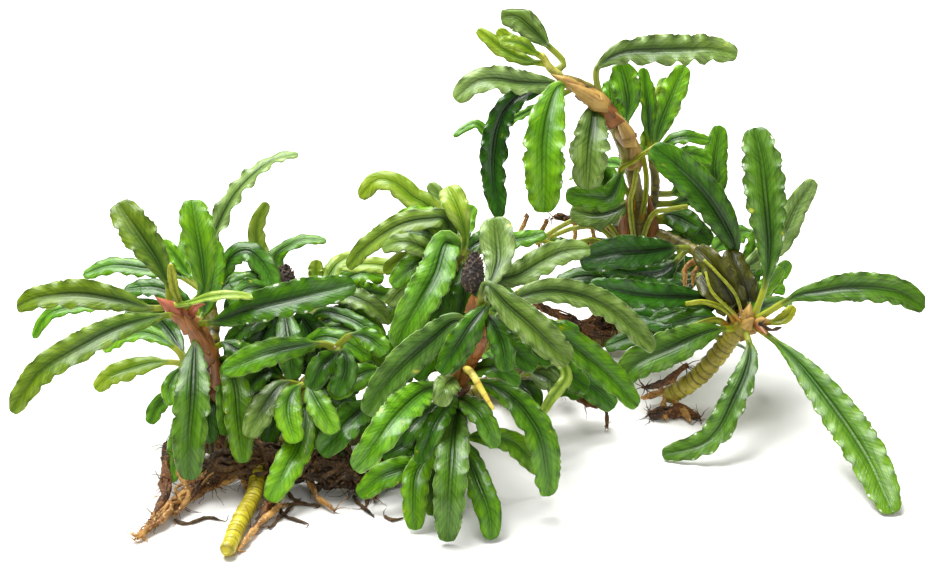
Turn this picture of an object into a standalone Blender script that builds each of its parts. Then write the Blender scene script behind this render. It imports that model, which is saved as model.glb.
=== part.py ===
# Bucephalandra: one creeping clump of a small water plant, picked and lying on its roots.
#
# Places are chosen on a flat sheet that stands square to a viewer who looks down on the plant.
# A point of the sheet is given in millimetres: across from the sheet's left edge, down from its
# top edge, and near, how far the point comes out of the sheet towards the viewer.

from math import cos, pi, radians, sin

import bmesh
import bpy
from mathutils import Vector

MM = 0.001
GAP = 0.3  # between a stalk and the stem that carries it

VIEW_TILT = radians(25)  # how far the viewer looks down
VIEW_DISTANCE = 873.0  # from the viewer's eye to the middle of the sheet
SHEET_MIDDLE = (116.4, 71.4)
SHEET_HEIGHT = 40.0  # the middle of the sheet above the surface that the plant lies on
CLUMP_SHIFT = (-2.5, 2.5)  # brings the clump's middle over the origin

LEAF_STATIONS = 10  # steps along a large blade
SMALL_STATIONS = 5
TIP_STEP = 0.6  # the last step before a blade's tip, as a share of the others
BLADE_THICKNESS = 0.7  # at the midrib
BLADE_FOLD = radians(14)  # how far each half of a large blade is lifted from flat
SMALL_FOLD = radians(6)
STALK_WIDTH = 1.7
STALK_THICKNESS = 1.3
RUFFLE_PITCH = 7.6  # from one wave of a leaf's edge to the next
EDGE_SPREAD_LOSS = 0.03  # how much narrower an opened blade is for its fold
STEM_SIDES = 7
SHOOT_SIDES = 6
ROOT_SIDES = 6

# From one ring of a stem to the next, and by what share every other ring is thicker.
RHIZOME_STEP, RHIZOME_KNOBS = 11, 0.05
STEM_STEP, STEM_KNOBS = 8, 0.04
SHOOT_STEP = 10
ROOT_STEP, ROOT_KNOBS = 7, 0.08
ROOTLET_STEP = 5
STALK_STEP = 4
KNOB_STEP = 2.4

# Colour, roughness
TONES = {
    "deep": ("#1f4a16", 0.28),
    "grey": ("#5c7f4c", 0.34),
    "mid": ("#4f7f2c", 0.32),
    "bright": ("#72a52c", 0.36),
    "yellow": ("#a3bf35", 0.40),
    "rhizome": ("#8a7f1c", 0.45),
    "yellow_rhizome": ("#b9a91c", 0.42),
    "red_stem": ("#a5602f", 0.45),
    "olive": ("#6f7318", 0.45),
    "root": ("#7a5226", 0.75),
    "dark_root": ("#4a3014", 0.80),
    "tan_root": ("#b98a4a", 0.75),
    "knob": ("#3c2a1c", 0.55),
    "spike": ("#dccb45", 0.38),
}


def near_at_height(across, down, height):
    """How near a point of the sheet is when it lies this high above the surface."""
    up = (SHEET_MIDDLE[1] - down) * cos(VIEW_TILT)
    return (height - SHEET_HEIGHT - up) / (sin(VIEW_TILT) - up / VIEW_DISTANCE)


def lying(across, down, height):
    return (across, down, near_at_height(across, down, height))


def place(across, down, near):
    """A point of the sheet in the part's own frame, in metres."""
    shrink = (VIEW_DISTANCE - near) / VIEW_DISTANCE
    right = (across - SHEET_MIDDLE[0]) * shrink
    up = (SHEET_MIDDLE[1] - down) * shrink
    x = right + CLUMP_SHIFT[0]
    y = up * sin(VIEW_TILT) - near * cos(VIEW_TILT) + CLUMP_SHIFT[1]
    z = SHEET_HEIGHT + up * cos(VIEW_TILT) + near * sin(VIEW_TILT)
    return Vector((x, y, z)) * MM


TO_EYE = Vector((0, -cos(VIEW_TILT), sin(VIEW_TILT)))
SHEET_UP = Vector((0, sin(VIEW_TILT), cos(VIEW_TILT)))
SHEET_RIGHT = Vector((1, 0, 0))


# Stems: what carries each one and how far along it, the way it takes with its radius at each
# point, its tone. A way's first point is where its carrier is, so it isn't repeated.
STEMS = {
    "rhizome": (None, 0, [
        (*lying(49.8, 111.8, 3.2), 1.6), (*lying(53.5, 111.2, 3.2), 2.6), (*lying(62.5, 110.8, 4.2), 2.7),
        (*lying(75, 110, 4.6), 2.6), (*lying(87.5, 109.2, 4.8), 2.7), (*lying(100, 107, 4.4), 2.6),
        (*lying(110, 102.5, 4.2), 2.7), (*lying(122.5, 96.2, 3.4), 2.6), (*lying(136.2, 89.5, 3.4), 2.7),
        (*lying(150, 84.5, 4.2), 2.6), (*lying(158.5, 84.2, 4.2), 1.8)], "rhizome"),
    "stem_left": ("rhizome", 0.04, [
        (53.2, 100, 5, 2.1), (52, 87, 11, 2.0), (47.5, 80, 14, 2.0), (41.5, 75.6, 15, 1.2)], "red_stem"),
    "stem_center": ("rhizome", 0.47, [
        (111.2, 99.5, 6, 2.3), (115.5, 93, 22, 2.2), (119.5, 86.2, 30, 2.0),
        (120, 79.5, 31, 1.9), (118, 74, 30, 1.6)], "red_stem"),
    "rhizome_yellow": ("root_mat", 0.27, [
        (*lying(64, 122.5, 2.8), 2.1), (*lying(60, 130.5, 2.6), 2.2),
        (*lying(56.5, 138.2, 2.3), 1.9)], "yellow_rhizome"),
}

# Side shoots: a stem that is grown together with the small leaves given for it below.
SHOOTS = {
    "shoot_left": ("stem_left", 0.32, [
        (50.5, 97, 9, 1.6), (48, 93, 12, 1.5), (46.2, 90.4, 12, 1.1)], "rhizome"),
    "shoot_back_left": ("stem_left", 0.5, [
        (53.2, 82, 2, 1.8), (52, 75, -1, 1.7), (50, 71.8, -2, 1.1)], "rhizome"),
    "shoot_middle": ("rhizome", 0.25, [
        (73.8, 98.8, 1, 1.9), (72.5, 83.8, 0, 1.8), (71.5, 75.4, -2, 1.6)], "rhizome"),
    "shoot_front": ("shoot_middle", 0.34, [
        (76.2, 96.2, 12, 1.7), (82, 90, 17, 1.6), (84.6, 86.4, 18, 1.1)], "rhizome"),
    "shoot_between": ("rhizome", 0.36, [
        (94.5, 104, 4, 1.8), (96.2, 98.8, 8, 1.7), (97.5, 93.8, 10, 1.2)], "rhizome"),
    "shoot_back": ("rhizome", 0.56, [
        (114.5, 87.5, -7, 1.8), (114.5, 72.5, 3, 1.7), (115, 63, 9, 1.2)], "rhizome"),
    "shoot_low": ("rhizome", 0.43, [
        (106.5, 107, 5, 1.8), (110.5, 109.5, 15, 1.7), (112.8, 110, 20, 1.1)], "rhizome"),
    "shoot_side": ("rhizome", 0.64, [
        (126, 94, -20, 1.9), (129, 92.5, -8, 1.8), (131, 91.5, 0, 1.2)], "rhizome"),
    "shoot_tall": ("rhizome", 0.95, [
        (158, 72.5, -45, 2.2), (160, 58, -37, 2.0), (159, 47.5, -33, 1.8), (156.2, 37.5, -28, 1.7),
        (150.5, 25, -24, 1.6), (145.2, 21, -22, 1.3), (140, 19.2, -21, 0.9)], "olive"),
    "shoot_tall_side": ("shoot_tall", 0.42, [
        (163.2, 51.5, -38, 1.3), (163.8, 45, -37, 1.2), (162.8, 39.5, -35, 0.9)], "olive"),
    "shoot_middle_side": ("shoot_middle", 0.5, [
        (75.8, 84, -3, 1.4), (78.4, 79, -5, 1.2), (80, 75.4, -6, 0.9)], "rhizome"),
    "shoot_right": (None, 0, [
        (*lying(166, 100, 2.4), 1.6), (167.5, 99, -25, 2.4), (175, 93.8, -20, 2.6),
        (180.5, 87.5, -15, 2.6), (184.5, 82.5, -12, 2.4), (189, 80, -10, 1.5)], "yellow_rhizome"),
    "shoot_link": ("shoot_right", 0.78, [
        (183, 75, -17, 1.7), (179.5, 68.8, -22, 1.6), (173.5, 62.5, -29, 1.5),
        (164.2, 58, -35.4, 1.3)], "olive"),
    "shoot_tip": ("shoot_tall", 0.99, [
        (137.6, 17, -21, 1.1), (136, 14.6, -21, 0.9), (135, 13.4, -21, 0.7)], "yellow"),
}

# Roots are stems too, thinner and rougher.
ROOTS = {
    "root_mat": (None, 0, [
        (*lying(51.6, 118.5, 5.5), 2.6), (*lying(57, 115.6, 7), 5.0), (*lying(63, 115.2, 7.2), 5.6),
        (*lying(71, 116.2, 6.6), 5.2), (*lying(80, 117.6, 6.4), 5.2), (*lying(90, 118, 5.8), 4.8),
        (*lying(98.4, 116.4, 4.2), 2.8)], "dark_root"),
    "root_left": ("root_mat", 0.02, [
        (*lying(47.5, 122.5, 3.0), 2.9), (*lying(40.5, 128.5, 2.6), 2.3),
        (*lying(34.2, 134.6, 1.1), 0.9)], "tan_root"),
    "root_back": (None, 0, [
        (137, 85.5, -38, 2.5), (142, 83, -42, 4.2), (148, 81.5, -45, 4.4), (153.5, 81, -46, 2.2)], "root"),
    "root_hook": ("rhizome", 0.78, [
        (141, 97, -22, 1.2), (147, 101.2, -15, 1.1), (151.2, 101.6, -14, 1.0),
        (*lying(151.8, 107, 1.0), 0.8)], "root"),
    "root_right": (None, 0, [
        (*lying(162.5, 103.5, 1.3), 1.0), (*lying(167, 103.2, 1.9), 1.8), (*lying(171, 102.8, 1.6), 1.5),
        (*lying(175, 104.4, 1.0), 0.7)], "root"),
}

# Small roots that are grown together with a thicker one.
ROOTLETS = {
    "root_mat": [
        (0.38, [(*lying(69.5, 124, 2.4), 1.7), (*lying(66.5, 131, 1.1), 0.7)]),
        (0.62, [(*lying(78.5, 122.5, 2.6), 1.5), (*lying(83.2, 127.2, 1.0), 0.6)]),
        (0.9, [(*lying(95, 123.6, 1.6), 1.1), (*lying(99.6, 129.2, 0.8), 0.5)]),
    ],
}


def blade(at, path, near, width, face, tone, stalk=5, ruffle=0.5, rest=None, belly=1.15):
    """One leaf: how far along its stem it grows, the way of its midrib from near the stem to the
    tip (across, down), how near it is halfway and at the tip, its true width, where its upper
    side looks besides at the viewer (to the right, up), and its tone. With rest, the tip lies
    that high above the surface. The larger belly is, the nearer to the tip it is widest."""
    return dict(at=at, path=path, near=near, width=width, face=face, tone=tone,
                stalk=stalk, ruffle=ruffle, rest=rest, belly=belly)


# The large leaves, by the stem that carries them.
LEAVES = {
    "stem_left": {
        "left_leaf_1": blade(0.95, [(37, 77), (30, 75.3), (20, 73.8), (10, 74.6), (4.2, 76.8)],
            (17, 13), 8.4, (-0.1, 0.5), "mid", ruffle=0.6),
        "left_leaf_2": blade(0.88, [(40, 79.2), (30, 82), (20, 87), (10, 93.4), (2.8, 103)],
            (28, 27), 8.4, (-0.2, 0.3), "grey"),
        "left_leaf_3": blade(0.98, [(42, 71.5), (39.4, 65.5), (35.6, 59.8), (32.4, 55.2), (29.4, 50.8)],
            (13, 8), 9.6, (0.1, 0.2), "mid", stalk=4, belly=1.5),
        "left_leaf_4": blade(0.9, [(50.6, 73), (50.6, 67), (49.8, 61), (48.8, 55), (48, 50)],
            (19, 15), 9.0, (0.2, 0.1), "bright", belly=1.7),
        "left_leaf_6": blade(0.7, [(49, 84), (48.6, 90), (48.2, 100), (47.4, 110), (47.4, 120)],
            (27, 27), 9.6, (-0.1, 0.1), "deep"),
        "left_leaf_7": blade(0.8, [(53.8, 80.5), (62, 77.6), (70, 75.6), (80, 73.2), (88.8, 71.2)],
            (24, 22), 9.6, (0, 0.35), "deep", belly=1.2),
        "middle_leaf_1": blade(0.4, [(56, 90.5), (58.8, 96.2), (59.6, 104), (60.8, 115.8)],
            (18, 23), 7.6, (0.1, 0.1), "bright"),
    },
    "shoot_back_left": {
        "left_leaf_5": blade(0.95, [(51.8, 64), (54.5, 57), (58.8, 49), (64, 43.5), (69, 40), (74.6, 38.6)],
            (-5, -8), 7.0, (-0.6, 1.2), "deep", ruffle=0.9, belly=0.85),
    },
    "shoot_between": {
        "middle_leaf_2": blade(0.7, [(94, 100), (88, 104.5), (83.5, 109.5), (80, 113.4)],
            (21, 22), 8.8, (-0.1, 0.2), "deep"),
    },
    "shoot_back": {
        "center_leaf_1": blade(0.97, [(116.4, 60), (115, 54), (113.2, 49.6), (111.8, 46.8)],
            (12, 8), 7.0, (0, 0.1), "yellow", stalk=3, belly=2.2),
        "center_leaf_11": blade(0.9, [(112, 56), (107.5, 55), (101, 56.2), (96, 58.8), (91, 62.6),
            (87, 67)],
            (9, 6), 7.0, (-0.2, 0.6), "bright"),
        "center_leaf_12": blade(0.84, [(111.8, 61), (109, 68.6), (105.4, 75), (102, 81), (99.2, 87)],
            (22, 24), 10.0, (-0.1, 0.1), "deep"),
    },
    "stem_center": {
        "center_leaf_2": blade(0.97, [(122.4, 71), (124.6, 65.5), (124.4, 60), (123.6, 54.4)],
            (20, 14), 9.4, (-0.1, 0.1), "grey", stalk=4, belly=2.1),
        "center_leaf_3": blade(0.9, [(124, 71.2), (130, 69), (136, 65.4), (141, 63.2), (147.6, 62.4)],
            (12, 6), 8.2, (0.1, 0.6), "grey", belly=1.4),
        "center_leaf_4": blade(0.84, [(128, 75.8), (136, 73), (144, 73.8), (151, 76.6), (157, 81),
            (163.6, 87.4)],
            (21, 10), 8.2, (0.2, 0.5), "grey", belly=1.3),
        "center_leaf_5": blade(0.93, [(121.4, 71.4), (127, 76.6), (133, 81.8), (138, 86.6), (142.6, 90.4)],
            (38, 38), 8.8, (0.2, 0.1), "grey", belly=1.45),
        "center_leaf_6": blade(0.72, [(130, 82), (140, 84.6), (147, 89.4), (153, 94.6), (159.4, 101.6)],
            (22, 14), 8.2, (0.1, 0.4), "mid", belly=1.3),
        "center_leaf_7": blade(0.8, [(114.5, 80.4), (108, 85), (101, 91), (96, 96.6), (91.4, 103.6)],
            (28, 25), 8.8, (-0.1, 0.1), "grey", belly=0.95),
        "center_leaf_8": blade(0.44, [(108.8, 97), (104.6, 99), (99, 104.4), (94, 111), (88.6, 117.4)],
            (43, 44), 9.2, (-0.2, 0.1), "bright", belly=1.2),
        "center_leaf_9": blade(0.42, [(114.6, 99.4), (113.6, 107), (113, 115), (112.4, 124),
            (111.8, 135.4)],
            (39, 44), 8.8, (0, 0.1), "mid", rest=0.7, belly=1.35),
        "center_leaf_10": blade(0.55, [(121, 96), (127, 98.8), (132, 104), (135.6, 111), (137.2, 124)],
            (32, 27), 8.2, (0.2, 0.2), "mid", belly=1.4),
    },
    "shoot_link": {
        "deep_leaf_1": blade(0.72, [(170, 62), (162, 63), (154, 63.6), (145, 65.6)],
            (-21, -19), 9.6, (0, 0.2), "deep"),
        "deep_leaf_2": blade(0.3, [(176.4, 74.6), (170, 74.4), (162, 74.2), (154, 72.8), (147.4, 71.2)],
            (-10, -8), 8.0, (0, 0.4), "deep"),
        "tall_leaf_6": blade(0.52, [(183.4, 63), (181, 56), (176, 48.6), (170, 42.4), (163, 36.8)],
            (-14, -14), 10.0, (0.1, 0.1), "deep", ruffle=0.3, belly=1.35),
    },
    "shoot_right": {
        "deep_leaf_3": blade(0.86, [(179.6, 82.4), (175, 83.8), (168, 87), (160, 90.6), (155, 95)],
            (-2, 0), 9.8, (-0.1, 0.2), "grey", belly=1.3),
        "right_leaf_1": blade(0.97, [(191.4, 70.8), (192.4, 62.4), (192, 55), (191.2, 47),
            (190.4, 40), (188.6, 32)],
            (-12, -18), 11.2, (-0.1, 0.1), "deep", stalk=9, ruffle=0.8, belly=1.5),
        "right_leaf_2": blade(0.99, [(198.4, 74.4), (205, 73), (212, 72), (220, 72.2),
            (226, 73.6), (231.2, 77)],
            (-3, -5), 8.4, (0.1, 0.25), "deep", stalk=9, belly=1.35),
        "right_leaf_3": blade(0.95, [(194.2, 85.6), (200, 91.2), (206, 98.6), (212.4, 107.4),
            (217.6, 116), (223.2, 128.4)],
            (6, 24), 10.8, (0.1, 0.1), "mid", stalk=6, rest=0.8, belly=1.5),
        "right_leaf_4": blade(0.9, [(187.6, 87.6), (186.4, 93.6), (183.6, 100), (179.8, 107.4),
            (175, 111.4), (165.6, 113.8)],
            (0, 2), 7.8, (-0.3, 0.2), "deep", ruffle=0.8, rest=1.4, belly=1.0),
    },
    "shoot_tall": {
        "tall_leaf_1": blade(0.86, [(149, 18.6), (150.4, 16), (156, 13.2), (163, 12.7),
            (172, 12.5), (178, 12.4), (184.4, 13.8)],
            (-22, -20), 8.8, (0, 0.2), "grey", stalk=7, ruffle=1.0),
        "tall_leaf_2": blade(0.94, [(136.4, 21), (130, 20.8), (124, 20), (119, 20.8), (113.8, 25)],
            (-17, -15), 8.0, (-0.1, 0.4), "mid", ruffle=0.8),
        "tall_leaf_3": blade(0.96, [(132.4, 23), (127.6, 26.2), (124.8, 31.4), (123.6, 38),
            (123.6, 45), (125, 54.4)],
            (-24, -20), 7.6, (-0.3, 0.1), "deep", ruffle=0.9),
        "tall_leaf_4": blade(0.92, [(140, 21.6), (137.4, 27.6), (136.2, 35), (136, 43), (136, 53.2)],
            (-11, -9), 11.2, (0, 0.05), "bright", ruffle=0.8, belly=1.3),
        "tall_leaf_5": blade(0.78, [(149, 27.4), (148, 32), (147.2, 39), (146.8, 47.4)],
            (-16, -13), 10.4, (0.1, 0.05), "grey", ruffle=0.9, belly=1.3),
    },
}

# The small leaves that are grown together with a shoot's stem.
SMALL_LEAVES = {
    "shoot_left": [
        blade(0.98, [(43.8, 87.2), (37.5, 83.6), (31.4, 84.2), (25.8, 87.6)],
              (8, 4), 5.6, (0, 0.8), "bright"),
        blade(0.9, [(43, 90.6), (37.5, 91), (32.5, 92.4), (27.6, 94.2), (23.8, 97.4)],
              (12, 12), 6.4, (0, 0.6), "yellow"),
        blade(0.6, [(47, 101), (44.6, 110), (43.2, 120.6)], (13, 18), 5.6, (-0.4, 0.1), "mid"),
    ],
    "shoot_back_left": [
        blade(0.96, [(43.6, 68.4), (36.4, 67.4), (28, 66.6), (20.8, 69)], (-6, -8), 6.2, (0, 0.8), "mid"),
        blade(0.9, [(46.6, 68), (43.4, 63.4), (40.4, 60.2)], (-4, -6), 4.4, (0, 0.3), "bright"),
        blade(0.8, [(55.6, 69), (58, 64.6), (62, 63), (66, 66.6), (69, 72.6)],
              (0, 4), 7.0, (0, 0.7), "deep"),
        blade(0.7, [(40, 76.4), (26, 76), (16, 77.4), (11.4, 79.6), (8.4, 84.6)],
              (-2, -4), 5.0, (0, 0.8), "mid"),
        blade(0.85, [(56, 73), (61, 74), (66, 77)], (-16, -26), 7.6, (0.2, 1.5), "mid"),
        blade(0.8, [(49, 75), (46, 78), (43, 84)], (-16, -24), 7.6, (-0.2, 1.5), "deep"),
    ],
    "shoot_middle": [
        blade(0.8, [(67, 70), (64.4, 61), (64.4, 56), (66.8, 50.6)], (-8, -9), 5.4, (-0.3, 0.2), "yellow"),
        blade(0.76, [(68.6, 66.4), (72.6, 61.4), (77, 60), (81.6, 60.4)], (-9, -11), 5.0, (0, 0.9), "mid"),
        blade(0.9, [(67.4, 72.6), (62.4, 70), (57.4, 71.2)], (2, 4), 5.6, (0, 0.6), "deep"),
        blade(0.8, [(70, 79), (67, 82), (63, 88)], (-14, -22), 8.0, (-0.3, 1.4), "mid"),
    ],
    "shoot_front": [
        blade(0.96, [(80.4, 86), (72.5, 87), (65.6, 88.8), (55.6, 93)], (23, 24), 7.6, (-0.1, 0.3), "mid"),
        blade(0.42, [(71, 96), (66.4, 101.4), (62, 109.4)], (20, 24), 7.4, (-0.2, 0.2), "grey"),
        blade(0.5, [(73.4, 98), (72, 103), (74, 110.8)], (22, 26), 7.2, (0, 0.2), "bright", stalk=3),
        blade(0.6, [(77, 96), (79.8, 101.4), (83.8, 108.4)], (24, 26), 6.8, (0.1, 0.2), "bright"),
        blade(0.25, [(76.2, 102), (75.2, 110), (71.6, 117.4), (67.4, 125.4)],
              (22, 29), 8.2, (-0.1, 0.1), "bright"),
    ],
    "shoot_between": [
        blade(0.6, [(92, 105.4), (87.4, 107), (82.4, 110.4)], (16, 18), 6.4, (0, 0.4), "deep"),
        blade(0.95, [(94, 92.6), (88, 95), (82.4, 98.8)], (18, 19), 7.4, (0, 0.4), "mid"),
        blade(0.8, [(99, 95), (103, 93), (107, 95)], (-4, -12), 7.0, (0.3, 1.2), "mid"),
        blade(0.9, [(98.4, 89), (100, 84), (102, 78)], (-10, -24), 7.6, (-0.2, 1.2), "deep"),
    ],
    "shoot_back": [
        blade(0.8, [(108.4, 54), (103, 49.4), (98.4, 45.8), (94, 45.4), (90, 49.6)],
              (2, 0), 6.8, (0, 0.5), "yellow"),
        blade(0.86, [(112, 53), (109.4, 48.6), (107.4, 45.8)], (1, -3), 5.4, (0, 0.3), "grey", stalk=3),
        blade(0.88, [(110, 64.6), (104, 61.4), (100, 60.8), (95.6, 62.2)], (15, 14), 6.2, (0, 0.6), "grey"),
        blade(0.8, [(108, 67.6), (101, 65), (96, 68.2)], (8, 8), 5.2, (0, 0.6), "yellow"),
        blade(0.75, [(106, 69), (94, 66.4), (85.4, 67)], (2, 0), 5.0, (0, 0.6), "yellow"),
        blade(0.9, [(120, 62.6), (126, 60.6), (132, 59.6), (136.4, 58.4)], (6, 3), 5.6, (0, 0.7), "mid"),
    ],
    "shoot_low": [
        blade(0.8, [(106, 116), (100, 117.6), (95, 119.6), (89.6, 124)], (25, 25), 7.2, (0, 0.3), "mid"),
        blade(0.9, [(106.6, 114.6), (104.2, 119), (103.6, 125), (103.8, 132.6)],
              (30, 32), 7.0, (0, 0.1), "bright", rest=0.8),
        blade(0.96, [(116.6, 114), (119.6, 121), (122.2, 128), (122.8, 135)],
              (33, 38), 7.2, (0.1, 0.1), "mid", rest=0.8),
        blade(0.94, [(117.4, 109.4), (122.4, 109.4), (128.8, 111.2), (135, 118)],
              (22, 18), 6.2, (0, 0.3), "bright"),
    ],
    "shoot_side": [
        blade(0.96, [(128, 88), (132.4, 88.2), (138, 90.6)], (6, 6), 6.0, (0, 0.4), "deep"),
        blade(0.9, [(133, 93), (137, 95), (140, 98)], (4, 6), 6.2, (0, 0.4), "grey"),
        blade(0.7, [(137, 93), (142.4, 94.4), (148, 97), (153.6, 102)], (-8, -8), 8.0, (0, 0.3), "deep"),
        blade(0.98, [(134, 91.4), (139.4, 90.6), (141.6, 94.4), (138, 99.4), (135, 104.4)],
              (8, 10), 3.2, (0, 0.2), "yellow"),
        blade(0.5, [(124, 91), (121, 88), (117, 84.6)], (-30, -42), 7.4, (0.3, 1.3), "mid"),
        blade(0.3, [(126, 86), (125.6, 80), (124.4, 73)], (-28, -32), 7.6, (0.2, 1.0), "mid"),
    ],
    "shoot_tall": [
        blade(0.66, [(153, 48.8), (148, 49.4), (141.4, 48.8)], (-24, -23), 7.4, (0, 0.3), "mid"),
        blade(0.7, [(157, 27), (156.6, 22), (155, 15.8)], (-30, -31), 7.2, (0, 0.1), "yellow"),
        blade(0.58, [(154, 41), (148.6, 42), (143, 44.4)], (-42, -54), 8.6, (-0.3, 1.4), "mid"),
        blade(0.5, [(159, 50), (158, 53), (155, 60)], (-50, -58), 8.6, (0, 1.6), "deep"),
        blade(0.72, [(156, 34), (160, 37), (166, 42)], (-44, -56), 8.6, (0.3, 1.5), "mid"),
        blade(0.93, [(127, 30.6), (122.6, 33.4), (118.6, 31), (113.4, 34.2)],
              (-30, -31), 3.4, (0, 0.7), "mid"),
    ],
    "shoot_tall_side": [
        blade(0.97, [(162.2, 34), (162, 27.4), (160.8, 17)], (-34, -37), 5.4, (0.5, 0.1), "mid"),
        blade(0.9, [(164.4, 33.6), (167, 26.2), (171.2, 16.4)], (-36, -39), 7.0, (0.2, 0.2), "mid"),
        blade(0.82, [(166.4, 36.4), (171, 34.4), (177.6, 35.2)], (-32, -33), 5.0, (0, 0.8), "mid"),
        blade(0.36, [(170, 50.4), (178, 46.4), (178.6, 41.4), (180, 31.4)],
              (-40, -44), 7.4, (0.2, 0.2), "mid"),
        blade(0.22, [(164.6, 54.4), (168, 54), (175, 57.4)], (-34, -32), 7.6, (0, 0.4), "deep"),
    ],
    "shoot_middle_side": [
        blade(0.98, [(79.6, 72), (79, 68.4), (79.2, 65)], (-7, -8), 4.2, (0, 0.3), "yellow"),
        blade(0.5, [(79.6, 78.4), (86.4, 79.4), (93, 83), (98.6, 88)], (7, 10), 4.8, (0, 0.6), "deep"),
        blade(0.8, [(81.6, 75.6), (86.4, 75), (94.4, 81)], (0, 2), 5.0, (0, 0.6), "deep"),
        blade(0.94, [(83.4, 71.6), (91.4, 73), (101.4, 75.4)], (-6, -6), 6.0, (0, 0.5), "bright", ruffle=0.9),
        blade(0.4, [(78.4, 81), (81, 82.4), (85, 86)], (-16, -26), 8.0, (0.2, 1.4), "deep"),
    ],
    "shoot_tip": [
        blade(0.3, [(141, 15.6), (136.6, 11), (133, 7.4), (129.2, 4.4), (125.2, 4.6)],
              (-24, -25), 6.2, (0, 0.2), "mid", stalk=9),
        blade(0.8, [(133.4, 13), (130, 11), (125, 10.4)], (-19, -19), 4.6, (0, 0.4), "yellow", stalk=2),
        blade(0.6, [(131, 15), (126, 12.6), (119.4, 7.4)], (-22, -24), 4.6, (0, 0.3), "yellow", stalk=2),
    ],
    "shoot_link": [
        blade(0.4, [(188, 66), (195, 60), (199, 52), (203.6, 45)], (-30, -34), 7.2, (0.1, 0.2), "grey"),
        blade(0.3, [(178, 77), (170, 78.2), (162, 80.6)], (-16, -16), 5.6, (0, 0.6), "deep"),
        blade(0.35, [(174, 76), (164, 82), (151.4, 87)], (-24, -28), 7.2, (0, 0.7), "deep"),
        blade(0.6, [(182, 60), (186, 58), (191, 60)], (-40, -50), 7.6, (0.3, 1.4), "mid"),
        blade(0.2, [(190, 73), (194, 69.6), (197.4, 65.4)], (-20, -22), 5.0, (0.2, 0.5), "mid"),
    ],
    "shoot_right": [
        blade(0.9, [(190.5, 77), (193, 76), (197, 75)], (-24, -36), 7.6, (0.2, 1.5), "mid"),
        blade(0.7, [(182, 86), (184, 86), (188, 88)], (-26, -36), 7.0, (0.2, 1.3), "deep"),
    ],
}

# Spent flower knobs and the young flower stalk: the stem that carries each, the way, the tone.
FLOWERS = {
    "knob_middle": ("shoot_middle", 1.0, [
        (71.5, 74.6, -2, 2.0), (71.4, 72, -2, 3.1), (71.2, 69.2, -2, 2.7), (71.1, 66.4, -2, 1.1)], "knob"),
    "knob_center": ("stem_center", 1.0, [
        (118, 73.2, 30, 2.2), (118.2, 70.6, 29.6, 3.0), (118.5, 66.8, 29, 2.5),
        (118.6, 63.2, 28.4, 1.0)], "knob"),
    "spike": ("stem_center", 0.66, [
        (118, 93.4, 36, 0.9), (120.6, 97.8, 39, 0.75), (123.5, 102.6, 41, 0.4)], "spike"),
}


def smooth(points, steps=10):
    """A smooth curve through the points, as many short straight runs."""
    ends = [points[0] * 2 - points[1]] + list(points) + [points[-1] * 2 - points[-2]]
    curve = []
    for p0, p1, p2, p3 in zip(ends, ends[1:], ends[2:], ends[3:]):
        for i in range(steps):
            t = i / steps
            curve.append(0.5 * (2 * p1 + (p2 - p0) * t + (2 * p0 - 5 * p1 + 4 * p2 - p3) * t * t
                                + (3 * p1 - p0 - 3 * p2 + p3) * t ** 3))
    return curve + [points[-1].copy()]


def lengths(curve):
    total = [0.0]
    for a, b in zip(curve, curve[1:]):
        total.append(total[-1] + (b - a).length)
    return total


def along(curve, share):
    """The point at this share of the curve's length, and the place in its list as a number."""
    total = lengths(curve)
    goal = min(max(share, 0), 1) * total[-1]
    for i in range(len(curve) - 1):
        if total[i + 1] >= goal:
            part = (goal - total[i]) / (total[i + 1] - total[i])
            return curve[i].lerp(curve[i + 1], part), i + part
    return curve[-1].copy(), len(curve) - 1.0


def direction(curve, spot):
    """The curve's direction at a place in its list."""
    i = min(int(spot), len(curve) - 2)
    ahead = min(i + 2, len(curve) - 1)
    behind = max(i - 1, 0)
    return (curve[ahead] - curve[behind]).normalized()


class Tube:
    """A round stem: its axis as a fine curve, and its radius along it."""

    def __init__(self, way):
        self.axis = smooth([place(*point[:3]) for point in way])
        self.radii = [v.x * MM for v in smooth([Vector((point[3], 0, 0)) for point in way])]

    def at(self, share):
        point, _ = along(self.axis, share)
        return point

    def radius_at(self, spot):
        i = min(int(spot), len(self.radii) - 2)
        return self.radii[i] + (self.radii[i + 1] - self.radii[i]) * (spot - i)

    def clearance(self, point):
        """How far a point is outside the stem's skin."""
        best = None
        for i, (a, b) in enumerate(zip(self.axis, self.axis[1:])):
            run = b - a
            t = min(max((point - a).dot(run) / run.length_squared, 0), 1)
            radius = self.radii[i] * (1 - t) + self.radii[i + 1] * t
            gap = (point - a.lerp(b, t)).length - radius
            best = gap if best is None else min(best, gap)
        return best


def build_mesh(name, rings):
    """A closed solid from rings of points, each ring with the same count."""
    mesh = bpy.data.meshes.new(name)
    bm = bmesh.new()
    loops = [[bm.verts.new(point) for point in ring] for ring in rings]
    sides = len(rings[0])
    for low, high in zip(loops, loops[1:]):
        for i in range(sides):
            j = (i + 1) % sides
            bm.faces.new((low[i], low[j], high[j], high[i]))
    bm.faces.new(loops[0][::-1])
    bm.faces.new(loops[-1])
    bmesh.ops.recalc_face_normals(bm, faces=bm.faces)
    bmesh.ops.triangulate(bm, faces=bm.faces)
    if bm.calc_volume(signed=True) < 0:
        bmesh.ops.reverse_faces(bm, faces=bm.faces)
    bm.to_mesh(mesh)
    bm.free()
    return mesh


def ring_around(centre, forward, radius, sides, turn=0.0):
    side = forward.cross(Vector((0, 0, 1)))
    if side.length < 0.2:
        side = forward.cross(Vector((0, 1, 0)))
    side.normalize()
    other = forward.cross(side).normalized()
    points = []
    for i in range(sides):
        angle = turn + 2 * pi * i / sides
        points.append(centre + (side * cos(angle) + other * sin(angle)) * radius)
    return points


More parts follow.
